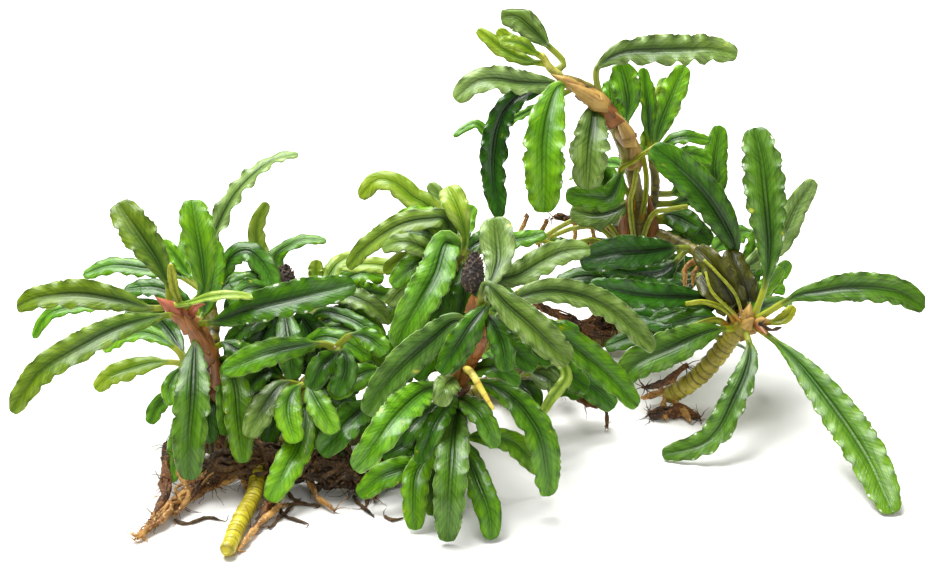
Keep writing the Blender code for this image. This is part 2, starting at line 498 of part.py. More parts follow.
def stem_rings(tube, sides, spacing, start=0.0, clear_of=None, knobbly=0.0):
    """Rings along a stem. With clear_of, it starts where it is just outside that stem's skin."""
    total = lengths(tube.axis)[-1]
    count = max(3, round(total / (spacing * MM)) + 1)
    if clear_of:
        start = first_clear(tube.axis, tube.radius_at, sides, clear_of)
    rings = []
    for k in range(count):
        share = start + (1 - start) * k / (count - 1)
        centre, spot = along(tube.axis, share)
        radius = tube.radius_at(spot) * (1 + knobbly * (1 if k % 2 else -1))
        rings.append(ring_around(centre, direction(tube.axis, spot), radius, sides))
    return rings


def first_clear(axis, radius_at, sides, carrier):
    """The share of a stem's or stalk's length at which its whole end is outside its carrier."""
    for k in range(300):
        share = k / 300
        centre, spot = along(axis, share)
        ring = ring_around(centre, direction(axis, spot), radius_at(spot), sides)
        if min(carrier.clearance(point) for point in ring + [centre]) >= GAP * MM:
            return share
    return 0.5


def bend(t, values):
    """A smooth value along a leaf, from those at its start, middle and tip."""
    a, b, c = values
    return a * (1 - t) * (1 - 2 * t) + b * 4 * t * (1 - t) + c * t * (2 * t - 1)


def sheet_near(point):
    """How near a point of the part's own frame is."""
    y = point.y / MM - CLUMP_SHIFT[1]
    return -y * cos(VIEW_TILT) + (point.z / MM - SHEET_HEIGHT) * sin(VIEW_TILT)


def sheet_place(point):
    """The across and down of a point of the part's own frame."""
    near = sheet_near(point)
    shrink = (VIEW_DISTANCE - near) / VIEW_DISTANCE
    y = point.y / MM - CLUMP_SHIFT[1]
    up = y * sin(VIEW_TILT) + (point.z / MM - SHEET_HEIGHT) * cos(VIEW_TILT)
    right = point.x / MM - CLUMP_SHIFT[0]
    return right / shrink + SHEET_MIDDLE[0], SHEET_MIDDLE[1] - up / shrink


def midrib(leaf, carrier):
    """The fine curve of a leaf's midrib, from its stem's axis to its tip."""
    root = carrier.at(leaf["at"])
    across, down = sheet_place(root)
    flat = [(across, down)] + leaf["path"]
    run = [0.0]
    for (a0, d0), (a1, d1) in zip(flat, flat[1:]):
        run.append(run[-1] + ((a1 - a0) ** 2 + (d1 - d0) ** 2) ** 0.5)
    tip_near = leaf["near"][1]
    if leaf["rest"] is not None:
        tip_near = near_at_height(*flat[-1], leaf["rest"])
    nears = (sheet_near(root), leaf["near"][0], tip_near)
    points = [place(a, d, bend(s / run[-1], nears)) for (a, d), s in zip(flat, run)]
    return smooth(points)


def blade_width(b, belly):
    """A strap leaf's width, as a share of the widest, from the end of its stalk to its tip."""
    return sin(pi * b ** belly) ** 0.42 if 0 < b < 1 else 0


def leaf_rings(leaf, carrier, stations, trimmed):
    """Four-sided sections along a leaf: its left edge, top, right edge and underside."""
    curve = midrib(leaf, carrier)
    total = lengths(curve)[-1]
    start = 0.0
    if trimmed:
        start = first_clear(curve, lambda share: STALK_WIDTH / 2 * MM, 4, carrier)
    stalk = min(max(leaf["stalk"] * MM / total, start + 0.04), 0.5)
    blade_length = total * (1 - stalk) / MM
    waves = max(2, round(blade_length / RUFFLE_PITCH))
    steps = [k / stations for k in range(stations - 1)] + [1 - TIP_STEP / stations, 1]
    shares = [start] + [stalk + (1 - stalk) * b for b in steps]
    facing = (TO_EYE + SHEET_RIGHT * leaf["face"][0] + SHEET_UP * leaf["face"][1]).normalized()
    rings = []
    for share in shares:
        centre, spot = along(curve, share)
        forward = direction(curve, spot)
        side = facing.cross(forward).normalized() * -1
        upper = side.cross(forward) * -1
        if upper.dot(facing) < 0:
            upper.negate()
        b = max(0, (share - stalk) / (1 - stalk))
        full = blade_width(b, leaf["belly"])
        half = max(leaf["width"] / 2 * full, STALK_WIDTH / 2 if b < 0.3 else 0.35) * MM
        thick = (STALK_THICKNESS if b <= 0 else BLADE_THICKNESS if b < 1 else 0.4) / 2 * MM
        open_share = min(1, half / (leaf["width"] / 2 * MM))
        lift = half * sin(BLADE_FOLD if trimmed else SMALL_FOLD) * open_share
        wave = leaf["ruffle"] * MM * full * cos(2 * pi * waves * b)
        spread = half * (1 - EDGE_SPREAD_LOSS * open_share)
        rings.append([
            centre - side * spread + upper * (lift + wave),
            centre + upper * thick,
            centre + side * spread + upper * (lift - wave),
            centre - upper * thick,
        ])
    return rings


def linear(value):
    return value / 12.92 if value <= 0.04045 else ((value + 0.055) / 1.055) ** 2.4


def tone_material(name, tone):
    colour, roughness = TONES[tone]
    channels = [linear(int(colour[i:i + 2], 16) / 255) for i in (1, 3, 5)]
    material = bpy.data.materials.new(name)
    material.use_nodes = True
    shader = material.node_tree.nodes["Principled BSDF"]
    shader.inputs["Base Color"].default_value = (*channels, 1)
    shader.inputs["Roughness"].default_value = roughness
    shader.inputs["Metallic"].default_value = 0
    return material


def add_object(name, mesh, tone):
    mesh.materials.append(tone_material(name, tone))
    item = bpy.data.objects.new(name, mesh)
    bpy.context.scene.collection.objects.link(item)
    return item


def grow_together(trunk, extras):
    """Joins the extra solids to the trunk, so that they are one closed body."""
    for extra in extras:
        join = trunk.modifiers.new("join", "BOOLEAN")
        join.operation = "UNION"
        join.object = extra
    graph = bpy.context.evaluated_depsgraph_get()
    joined = bpy.data.meshes.new_from_object(trunk.evaluated_get(graph))
    trunk.modifiers.clear()
    trunk.data = joined
    for extra in extras:
        bpy.data.objects.remove(extra)


def make_tubes(tubes, table, sides, spacing, knobbly):
    """The solids of a table of stems, and their tubes by name."""
    for name, (carrier, at, way, tone) in table.items():
        if carrier:
            root = tubes[carrier].at(at)
            way = [(*sheet_place(root), sheet_near(root), way[0][3])] + way
        tubes[name] = Tube(way)
        rings = stem_rings(tubes[name], sides, spacing, clear_of=tubes.get(carrier), knobbly=knobbly)
        add_object(name, build_mesh(name, rings), tone)


def add_flowers(tubes):
    for name, (carrier, at, way, tone) in FLOWERS.items():
        if at < 1:
            root = tubes[carrier].at(at)
            way = [(*sheet_place(root), sheet_near(root), way[0][3])] + way
            tube = Tube(way)
            rings = stem_rings(tube, ROOT_SIDES, STALK_STEP, clear_of=tubes[carrier])
        else:
            rings = stem_rings(Tube(way), STEM_SIDES, KNOB_STEP)
        add_object(name, build_mesh(name, rings), tone)


def add_leaves(tubes):
    for stem, leaves in LEAVES.items():
        for name, leaf in leaves.items():
            rings = leaf_rings(leaf, tubes[stem], LEAF_STATIONS, True)
            add_object(name, build_mesh(name, rings), leaf["tone"])


def add_small_leaves(tubes):
    for shoot, leaves in SMALL_LEAVES.items():
        extras = []
        for leaf in leaves:
            rings = leaf_rings(leaf, tubes[shoot], SMALL_STATIONS, False)
            extras.append(add_object("extra", build_mesh("extra", rings), leaf["tone"]))
        grow_together(bpy.data.objects[shoot], extras)


def add_rootlets(tubes):
    for carrier, ways in ROOTLETS.items():
        extras = []
        for at, way in ways:
            root = tubes[carrier].at(at)
            way = [(*sheet_place(root), sheet_near(root), way[0][3])] + way
            rings = stem_rings(Tube(way), ROOT_SIDES, ROOTLET_STEP)
            extras.append(add_object("extra", build_mesh("extra", rings), "root"))
        grow_together(bpy.data.objects[carrier], extras)


def main():
    for item in list(bpy.data.objects):
        bpy.data.objects.remove(item)
    tubes = {}
    make_tubes(tubes, {"rhizome": STEMS["rhizome"]}, STEM_SIDES, RHIZOME_STEP, RHIZOME_KNOBS)
    make_tubes(tubes, ROOTS, ROOT_SIDES, ROOT_STEP, ROOT_KNOBS)
    others = {name: way for name, way in STEMS.items() if name != "rhizome"}
    make_tubes(tubes, others, STEM_SIDES, STEM_STEP, STEM_KNOBS)
    make_tubes(tubes, SHOOTS, SHOOT_SIDES, SHOOT_STEP, 0.0)
    add_flowers(tubes)
    add_leaves(tubes)
    add_small_leaves(tubes)
    add_rootlets(tubes)
    return tubes


main()
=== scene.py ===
# A creeping clump of bucephalandra, picked and lying on its roots: how its leaves, stems, roots and
# flowers look. Run it in Blender. Lengths are millimetres unless a line says otherwise.
import random
from math import cos, pi, radians, sin, tan

import bpy
import numpy as np
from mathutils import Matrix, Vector


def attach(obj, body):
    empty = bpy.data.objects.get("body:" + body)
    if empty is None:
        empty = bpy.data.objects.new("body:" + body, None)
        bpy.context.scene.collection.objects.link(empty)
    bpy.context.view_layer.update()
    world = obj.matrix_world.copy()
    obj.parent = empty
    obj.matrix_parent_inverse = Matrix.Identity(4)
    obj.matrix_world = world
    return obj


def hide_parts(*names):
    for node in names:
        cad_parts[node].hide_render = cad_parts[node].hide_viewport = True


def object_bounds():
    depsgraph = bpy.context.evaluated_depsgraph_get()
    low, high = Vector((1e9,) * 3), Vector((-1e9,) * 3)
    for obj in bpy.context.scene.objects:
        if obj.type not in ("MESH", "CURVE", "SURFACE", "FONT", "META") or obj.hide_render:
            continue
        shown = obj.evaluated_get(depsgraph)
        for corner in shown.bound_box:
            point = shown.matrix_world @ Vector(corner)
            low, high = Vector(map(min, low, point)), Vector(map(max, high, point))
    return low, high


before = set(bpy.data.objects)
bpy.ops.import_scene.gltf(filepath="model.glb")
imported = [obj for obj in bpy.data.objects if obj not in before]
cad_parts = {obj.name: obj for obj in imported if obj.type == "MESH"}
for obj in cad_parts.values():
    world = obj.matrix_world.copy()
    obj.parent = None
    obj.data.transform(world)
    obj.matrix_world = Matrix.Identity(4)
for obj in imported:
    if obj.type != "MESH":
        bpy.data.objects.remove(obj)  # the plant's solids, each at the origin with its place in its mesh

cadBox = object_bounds()
mm = 0.001  # metres in a millimetre

# The plant is laid out on a sheet that stands square to a viewer who looks down on it. A place is
# given across from the sheet's left edge, down from its top edge and near, towards the viewer.
sheet = {
    "tilt": radians(25),  # how far the viewer looks down
    "distance": 873.0,  # from the eye to the middle of the sheet
    "middle": (116.4, 71.4),
    "height": 40.0,  # the sheet's middle above the table
    "shift": (-2.5, 2.5),  # brings the clump over the origin
}


def nearAtHeight(across, down, height):
    # how near a place on the sheet is when it lies this high above the table
    up = (sheet["middle"][1] - down) * cos(sheet["tilt"])
    return (height - sheet["height"] - up) / (sin(sheet["tilt"]) - up / sheet["distance"])


def lying(across, down, height):
    return (across, down, nearAtHeight(across, down, height))


def place(across, down, near):
    # a place on the sheet as a point in metres
    shrink = (sheet["distance"] - near) / sheet["distance"]
    right = (across - sheet["middle"][0]) * shrink
    up = (sheet["middle"][1] - down) * shrink
    x = right + sheet["shift"][0]
    y = up * sin(sheet["tilt"]) - near * cos(sheet["tilt"]) + sheet["shift"][1]
    z = sheet["height"] + up * cos(sheet["tilt"]) + near * sin(sheet["tilt"])
    return np.array((x, y, z)) * mm


def sheetPlace(point):
    # across, down and near of a point in metres
    x, y, z = point[0] / mm - sheet["shift"][0], point[1] / mm - sheet["shift"][1], point[2] / mm - sheet["height"]
    near = -y * cos(sheet["tilt"]) + z * sin(sheet["tilt"])
    shrink = (sheet["distance"] - near) / sheet["distance"]
    up = y * sin(sheet["tilt"]) + z * cos(sheet["tilt"])
    return x / shrink + sheet["middle"][0], sheet["middle"][1] - up / shrink, near


toEye = np.array((0, -cos(sheet["tilt"]), sin(sheet["tilt"])))
sheetUp = np.array((0, sin(sheet["tilt"]), cos(sheet["tilt"])))
sheetRight = np.array((1, 0, 0))

# Camera: a short telephoto straight at the sheet's middle.
camera = {"lens": 135, "sensor": 36}
cameraData = bpy.data.cameras.new("camera")
cameraData.lens, cameraData.sensor_width = camera["lens"], camera["sensor"]
cameraData.clip_start = 0.05
cameraObject = bpy.data.objects.new("camera", cameraData)
sheetCentre = place(*sheet["middle"], 0)
cameraObject.location = Vector(sheetCentre + toEye * sheet["distance"] * mm)
cameraObject.rotation_euler = (pi / 2 - sheet["tilt"], 0, 0)
bpy.context.scene.collection.objects.link(cameraObject)
bpy.context.scene.camera = cameraObject
print("camera placed")

stems = {
    "rhizome": (None, 0, [
        (*lying(49.8, 111.8, 3.2), 1.6), (*lying(53.5, 111.2, 3.2), 2.6), (*lying(62.5, 110.8, 4.2), 2.7),
        (*lying(75, 110, 4.6), 2.6), (*lying(87.5, 109.2, 4.8), 2.7), (*lying(100, 107, 4.4), 2.6),
        (*lying(110, 102.5, 4.2), 2.7), (*lying(122.5, 96.2, 3.4), 2.6), (*lying(136.2, 89.5, 3.4), 2.7),
        (*lying(150, 84.5, 4.2), 2.6), (*lying(158.5, 84.2, 4.2), 1.8)], "rhizome"),
    "stem_left": ("rhizome", 0.04, [
        (53.2, 100, 5, 2.1), (52, 87, 11, 2.0), (47.5, 80, 14, 2.0), (41.5, 75.6, 15, 1.2)], "red_stem"),
    "stem_center": ("rhizome", 0.47, [
        (111.2, 99.5, 6, 2.3), (115.5, 93, 22, 2.2), (119.5, 86.2, 30, 2.0),
        (120, 79.5, 31, 1.9), (118, 74, 30, 1.6)], "red_stem"),
    "rhizome_yellow": ("root_mat", 0.27, [
        (*lying(64, 122.5, 2.8), 2.1), (*lying(60, 130.5, 2.6), 2.2),
        (*lying(56.5, 138.2, 2.3), 1.9)], "yellow_rhizome"),
}

shoots = {
    "shoot_left": ("stem_left", 0.32, [
        (50.5, 97, 9, 1.6), (48, 93, 12, 1.5), (46.2, 90.4, 12, 1.1)], "rhizome"),
    "shoot_back_left": ("stem_left", 0.5, [
        (53.2, 82, 2, 1.8), (52, 75, -1, 1.7), (50, 71.8, -2, 1.1)], "rhizome"),
    "shoot_middle": ("rhizome", 0.25, [
        (73.8, 98.8, 1, 1.9), (72.5, 83.8, 0, 1.8), (71.5, 75.4, -2, 1.6)], "rhizome"),
    "shoot_front": ("shoot_middle", 0.34, [
        (76.2, 96.2, 12, 1.7), (82, 90, 17, 1.6), (84.6, 86.4, 18, 1.1)], "rhizome"),
    "shoot_between": ("rhizome", 0.36, [
        (94.5, 104, 4, 1.8), (96.2, 98.8, 8, 1.7), (97.5, 93.8, 10, 1.2)], "rhizome"),
    "shoot_back": ("rhizome", 0.56, [
        (114.5, 87.5, -7, 1.8), (114.5, 72.5, 3, 1.7), (115, 63, 9, 1.2)], "rhizome"),
    "shoot_low": ("rhizome", 0.43, [
        (106.5, 107, 5, 1.8), (110.5, 109.5, 15, 1.7), (112.8, 110, 20, 1.1)], "rhizome"),
    "shoot_side": ("rhizome", 0.64, [
        (126, 94, -20, 1.9), (129, 92.5, -8, 1.8), (131, 91.5, 0, 1.2)], "rhizome"),
    "shoot_tall": ("rhizome", 0.95, [
        (158, 72.5, -45, 2.2), (160, 58, -37, 2.0), (159, 47.5, -33, 1.8), (156.2, 37.5, -28, 1.7),
        (150.5, 25, -24, 1.6), (145.2, 21, -22, 1.3), (140, 19.2, -21, 0.9)], "olive"),
    "shoot_tall_side": ("shoot_tall", 0.42, [
        (163.2, 51.5, -38, 1.3), (163.8, 45, -37, 1.2), (162.8, 39.5, -35, 0.9)], "olive"),
    "shoot_middle_side": ("shoot_middle", 0.5, [
        (75.8, 84, -3, 1.4), (78.4, 79, -5, 1.2), (80, 75.4, -6, 0.9)], "rhizome"),
    "shoot_right": (None, 0, [
        (*lying(166, 100, 2.4), 1.6), (167.5, 99, -25, 2.4), (175, 93.8, -20, 2.6),
        (180.5, 87.5, -15, 2.6), (184.5, 82.5, -12, 2.4), (189, 80, -10, 1.5)], "olive_rhizome"),
    "shoot_link": ("shoot_right", 0.78, [
        (183, 75, -17, 1.7), (179.5, 68.8, -22, 1.6), (173.5, 62.5, -29, 1.5),
        (164.2, 58, -35.4, 1.3)], "olive"),
    "shoot_tip": ("shoot_tall", 0.99, [
        (137.6, 17, -21, 1.1), (136, 14.6, -21, 0.9), (135, 13.4, -21, 0.7)], "yellow"),
}

roots = {
    "root_mat": (None, 0, [
        (*lying(51.6, 118.5, 5.5), 2.6), (*lying(57, 115.6, 7), 5.0), (*lying(63, 115.2, 7.2), 5.6),
        (*lying(71, 116.2, 6.6), 5.2), (*lying(80, 117.6, 6.4), 5.2), (*lying(90, 118, 5.8), 4.8),
        (*lying(98.4, 116.4, 4.2), 2.8)], "dark_root"),
    "root_left": ("root_mat", 0.02, [
        (*lying(47.5, 122.5, 3.0), 2.9), (*lying(40.5, 128.5, 2.6), 2.3),
        (*lying(34.2, 134.6, 1.1), 0.9)], "tan_root"),
    "root_back": (None, 0, [
        (137, 85.5, -38, 2.5), (142, 83, -42, 4.2), (148, 81.5, -45, 4.4), (153.5, 81, -46, 2.2)], "root"),
    "root_hook": ("rhizome", 0.78, [
        (141, 97, -22, 1.2), (147, 101.2, -15, 1.1), (151.2, 101.6, -14, 1.0),
        (*lying(151.8, 107, 1.0), 0.8)], "root"),
    "root_right": (None, 0, [
        (*lying(162.5, 103.5, 1.3), 1.0), (*lying(167, 103.2, 1.9), 1.8), (*lying(171, 102.8, 1.6), 1.5),
        (*lying(175, 104.4, 1.0), 0.7)], "root"),
}

rootlets = {
    "root_mat": [
        (0.38, [(*lying(69.5, 124, 2.4), 1.7), (*lying(66.5, 131, 1.1), 0.7)]),
        (0.62, [(*lying(78.5, 122.5, 2.6), 1.5), (*lying(83.2, 127.2, 1.0), 0.6)]),
        (0.9, [(*lying(95, 123.6, 1.6), 1.1), (*lying(99.6, 129.2, 0.8), 0.5)]),
    ],
}



def leaf(at, path, near, width, face, finish, stalk=5, ruffle=0.5, rest=None, belly=1.15, dropGlints=0, kind="blade"):
    # how far along its stem a leaf grows, its midrib (across, down) to the tip, how near it is
    # halfway and at the tip, its width, where its top looks besides at the viewer, its finish;
    # with rest, the tip lies that high above the table; a larger belly is widest nearer the tip;
    # with drop glints, white glints of water drops are painted on the crests of its edge
    return dict(at=at, path=path, near=near, width=width, face=face, finish=finish, stalk=stalk,
                ruffle=ruffle, rest=rest, belly=belly, dropGlints=dropGlints, kind=kind)


def sheath(at, path, near, width, face, finish):
    return leaf(at, path, near, width, face, finish, stalk=0, ruffle=0, kind="sheath")


def bareStalk(at, path, near, finish="young", width=1.6):
    return leaf(at, path, near, width, (0, 0.4), finish, ruffle=0, kind="stalk")


largeLeaves = {
    "stem_left": {
        "left_leaf_1": leaf(0.95, [(37, 77), (30, 75.3), (20, 73.8), (10, 74.6), (4.2, 76.8)],
            (17, 13), 8.4, (-0.1, 0.5), "pale", ruffle=0.6),
        "left_leaf_2": leaf(0.88, [(40, 79.2), (30, 82), (20, 87), (10, 93.4), (2.8, 103)],
            (28, 27), 8.4, (-0.2, 0.3), "pale"),
        "left_leaf_3": leaf(0.98, [(42, 71.5), (39.4, 65.5), (35.6, 59.8), (32.4, 55.2), (29.4, 50.8)],
            (13, 8), 9.6, (0.1, 0.2), "pale", stalk=4, belly=1.5),
        "left_leaf_4": leaf(0.9, [(50.6, 73), (50.6, 67), (49.8, 61), (48.8, 55), (48, 50)],
            (19, 15), 9.0, (0.2, 0.1), "bright", belly=1.7),
        "left_leaf_6": leaf(0.7, [(49, 84), (48.6, 90), (48.2, 100), (47.4, 110), (47.4, 120)],
            (27, 27), 9.6, (-0.1, 0.1), "blueDark"),
        "left_leaf_7": leaf(0.8, [(53.8, 80.5), (62, 77.6), (70, 75.6), (80, 73.2), (88.8, 71.2)],
            (24, 22), 9.6, (0, 0.35), "dark", belly=1.2, dropGlints=1),
        "middle_leaf_1": leaf(0.4, [(56, 90.5), (58.8, 96.2), (59.6, 104), (60.8, 115.8)],
            (18, 23), 7.6, (0.1, 0.1), "vivid"),
    },
    "shoot_back_left": {
        "left_leaf_5": leaf(0.95, [(51.8, 64), (54.5, 57), (58.8, 49), (64, 43.5), (69, 40), (74.6, 38.6)],
            (-5, -8), 7.0, (-0.6, 1.2), "grey", ruffle=0.9, belly=0.85),
    },
    "shoot_between": {
        "middle_leaf_2": leaf(0.7, [(94, 100), (88, 104.5), (83.5, 109.5), (80, 113.4)],
            (21, 22), 8.8, (-0.1, 0.2), "dark"),
    },
    "shoot_back": {
        "center_leaf_1": leaf(0.97, [(116.4, 60), (115, 54), (113.2, 49.6), (111.8, 46.8)],
            (12, 8), 7.0, (0, 0.1), "lime", stalk=3, belly=2.2),
        "center_leaf_11": leaf(0.9, [(112, 56), (107.5, 55), (101, 56.2), (96, 58.8), (91, 62.6),
            (87, 67)],
            (9, 6), 7.0, (-0.2, 0.6), "pale"),
        "center_leaf_12": leaf(0.84, [(111.8, 61), (109, 68.6), (105.4, 75), (102, 81), (99.2, 87)],
            (22, 24), 10.0, (-0.1, 0.1), "mid"),
    },
    "stem_center": {
        "center_leaf_2": leaf(0.97, [(122.4, 71), (124.6, 65.5), (124.4, 60), (123.6, 54.4)],
            (20, 14), 9.4, (-0.1, 0.1), "grey", stalk=4, belly=2.1),
        "center_leaf_3": leaf(0.9, [(124, 71.2), (130, 69), (136, 65.4), (141, 63.2), (147.6, 62.4)],
            (12, 6), 8.2, (0.1, 0.6), "grey", belly=1.4),
        "center_leaf_4": leaf(0.84, [(128, 75.8), (136, 73), (144, 73.8), (151, 76.6), (157, 81),
            (163.6, 87.4)],
            (21, 10), 8.2, (0.2, 0.5), "grey", belly=1.3),
        "center_leaf_5": leaf(0.93, [(121.4, 71.4), (127, 76.6), (133, 81.8), (138, 86.6), (142.6, 90.4)],
            (38, 38), 8.8, (0.2, 0.1), "grey", belly=1.45),
        "center_leaf_6": leaf(0.72, [(130, 82), (140, 84.6), (147, 89.4), (153, 94.6), (159.4, 101.6)],
            (22, 14), 8.2, (0.1, 0.4), "mid", belly=1.3),
        "center_leaf_7": leaf(0.8, [(114.5, 80.4), (108, 85), (101, 91), (96, 96.6), (91.4, 103.6)],
            (28, 25), 8.8, (-0.1, 0.1), "blueDark", belly=0.95),
        "center_leaf_8": leaf(0.44, [(108.8, 97), (104.6, 99), (99, 104.4), (94, 111), (88.6, 117.4)],
            (43, 44), 9.2, (-0.2, 0.1), "mid", belly=1.2),
        "center_leaf_9": leaf(0.42, [(114.6, 99.4), (113.6, 107), (113, 115), (112.4, 124),
            (111.8, 135.4)],
            (39, 44), 8.8, (0, 0.1), "blueDark", rest=0.7, belly=1.35),
        "center_leaf_10": leaf(0.55, [(121, 96), (127, 98.8), (132, 104), (135.6, 111), (137.2, 124)],
            (32, 27), 8.2, (0.2, 0.2), "mid", belly=1.4),
    },
    "shoot_link": {
        "deep_leaf_1": leaf(0.72, [(170, 62), (162, 63), (154, 63.6), (145, 65.6)],
            (-21, -19), 9.6, (0, 0.2), "deep", dropGlints=1),
        "deep_leaf_2": leaf(0.3, [(176.4, 74.6), (170, 74.4), (162, 74.2), (154, 72.8), (147.4, 71.2)],
            (-10, -8), 8.0, (0, 0.4), "deep"),
        "tall_leaf_6": leaf(0.52, [(183.4, 63), (181, 56), (176, 48.6), (170, 42.4), (163, 36.8)],
            (-14, -14), 10.0, (0.1, 0.1), "dark", ruffle=0.3, belly=1.35),
    },
    "shoot_right": {
        "deep_leaf_3": leaf(0.86, [(179.6, 82.4), (175, 83.8), (168, 87), (160, 90.6), (155, 95)],
            (-2, 0), 9.8, (-0.1, 0.2), "blueDark", belly=1.3),
        "right_leaf_1": leaf(0.97, [(191.4, 70.8), (192.4, 62.4), (192, 55), (191.2, 47),
            (190.4, 40), (188.6, 32)],
            (-12, -18), 11.2, (-0.1, 0.1), "blueDark", stalk=9, ruffle=0.8, belly=1.5, dropGlints=1),
        "right_leaf_2": leaf(0.99, [(198.4, 74.4), (205, 73), (212, 72), (220, 72.2),
            (226, 73.6), (231.2, 77)],
            (-3, -5), 8.4, (0.1, 0.25), "blueDark", stalk=9, belly=1.35),
        "right_leaf_3": leaf(0.95, [(194.2, 85.6), (200, 91.2), (206, 98.6), (212.4, 107.4),
            (217.6, 116), (223.2, 128.4)],
            (6, 24), 10.8, (0.1, 0.1), "vivid", stalk=6, ruffle=0.35, rest=0.8, belly=1.5, dropGlints=1),
        "right_leaf_4": leaf(0.9, [(187.6, 87.6), (186.4, 93.6), (183.6, 100), (179.8, 107.4),
            (175, 111.4), (165.6, 113.8)],
            (0, 2), 7.8, (-0.3, 0.2), "blueDark", ruffle=0.8, rest=1.4, belly=1.0, dropGlints=1),
    },
    "shoot_tall": {
        "tall_leaf_1": leaf(0.86, [(149, 18.6), (150.4, 16), (156, 13.2), (163, 12.7),
            (172, 12.5), (178, 12.4), (184.4, 13.8)],
            (-22, -20), 8.8, (0, 0.2), "grey", stalk=7, ruffle=1.5),
        "tall_leaf_2": leaf(0.94, [(136.4, 21), (130, 20.8), (124, 20), (119, 20.8), (113.8, 25)],
            (-17, -15), 8.0, (-0.1, 0.4), "grey", ruffle=0.8),
        "tall_leaf_3": leaf(0.96, [(132.4, 23), (127.6, 26.2), (124.8, 31.4), (123.6, 38),
            (123.6, 45), (125, 54.4)],
            (-24, -20), 7.6, (-0.3, 0.1), "deep", ruffle=0.9),
        "tall_leaf_4": leaf(0.92, [(140, 21.6), (137.4, 27.6), (136.2, 35), (136, 43), (136, 53.2)],
            (-11, -9), 11.2, (0, 0.05), "bright", ruffle=0.8, belly=1.3, dropGlints=1),
        "tall_leaf_5": leaf(0.78, [(149, 27.4), (148, 32), (147.2, 39), (146.8, 47.4)],
            (-16, -13), 10.4, (0.1, 0.05), "grey", ruffle=0.9, belly=1.3),
    },
}

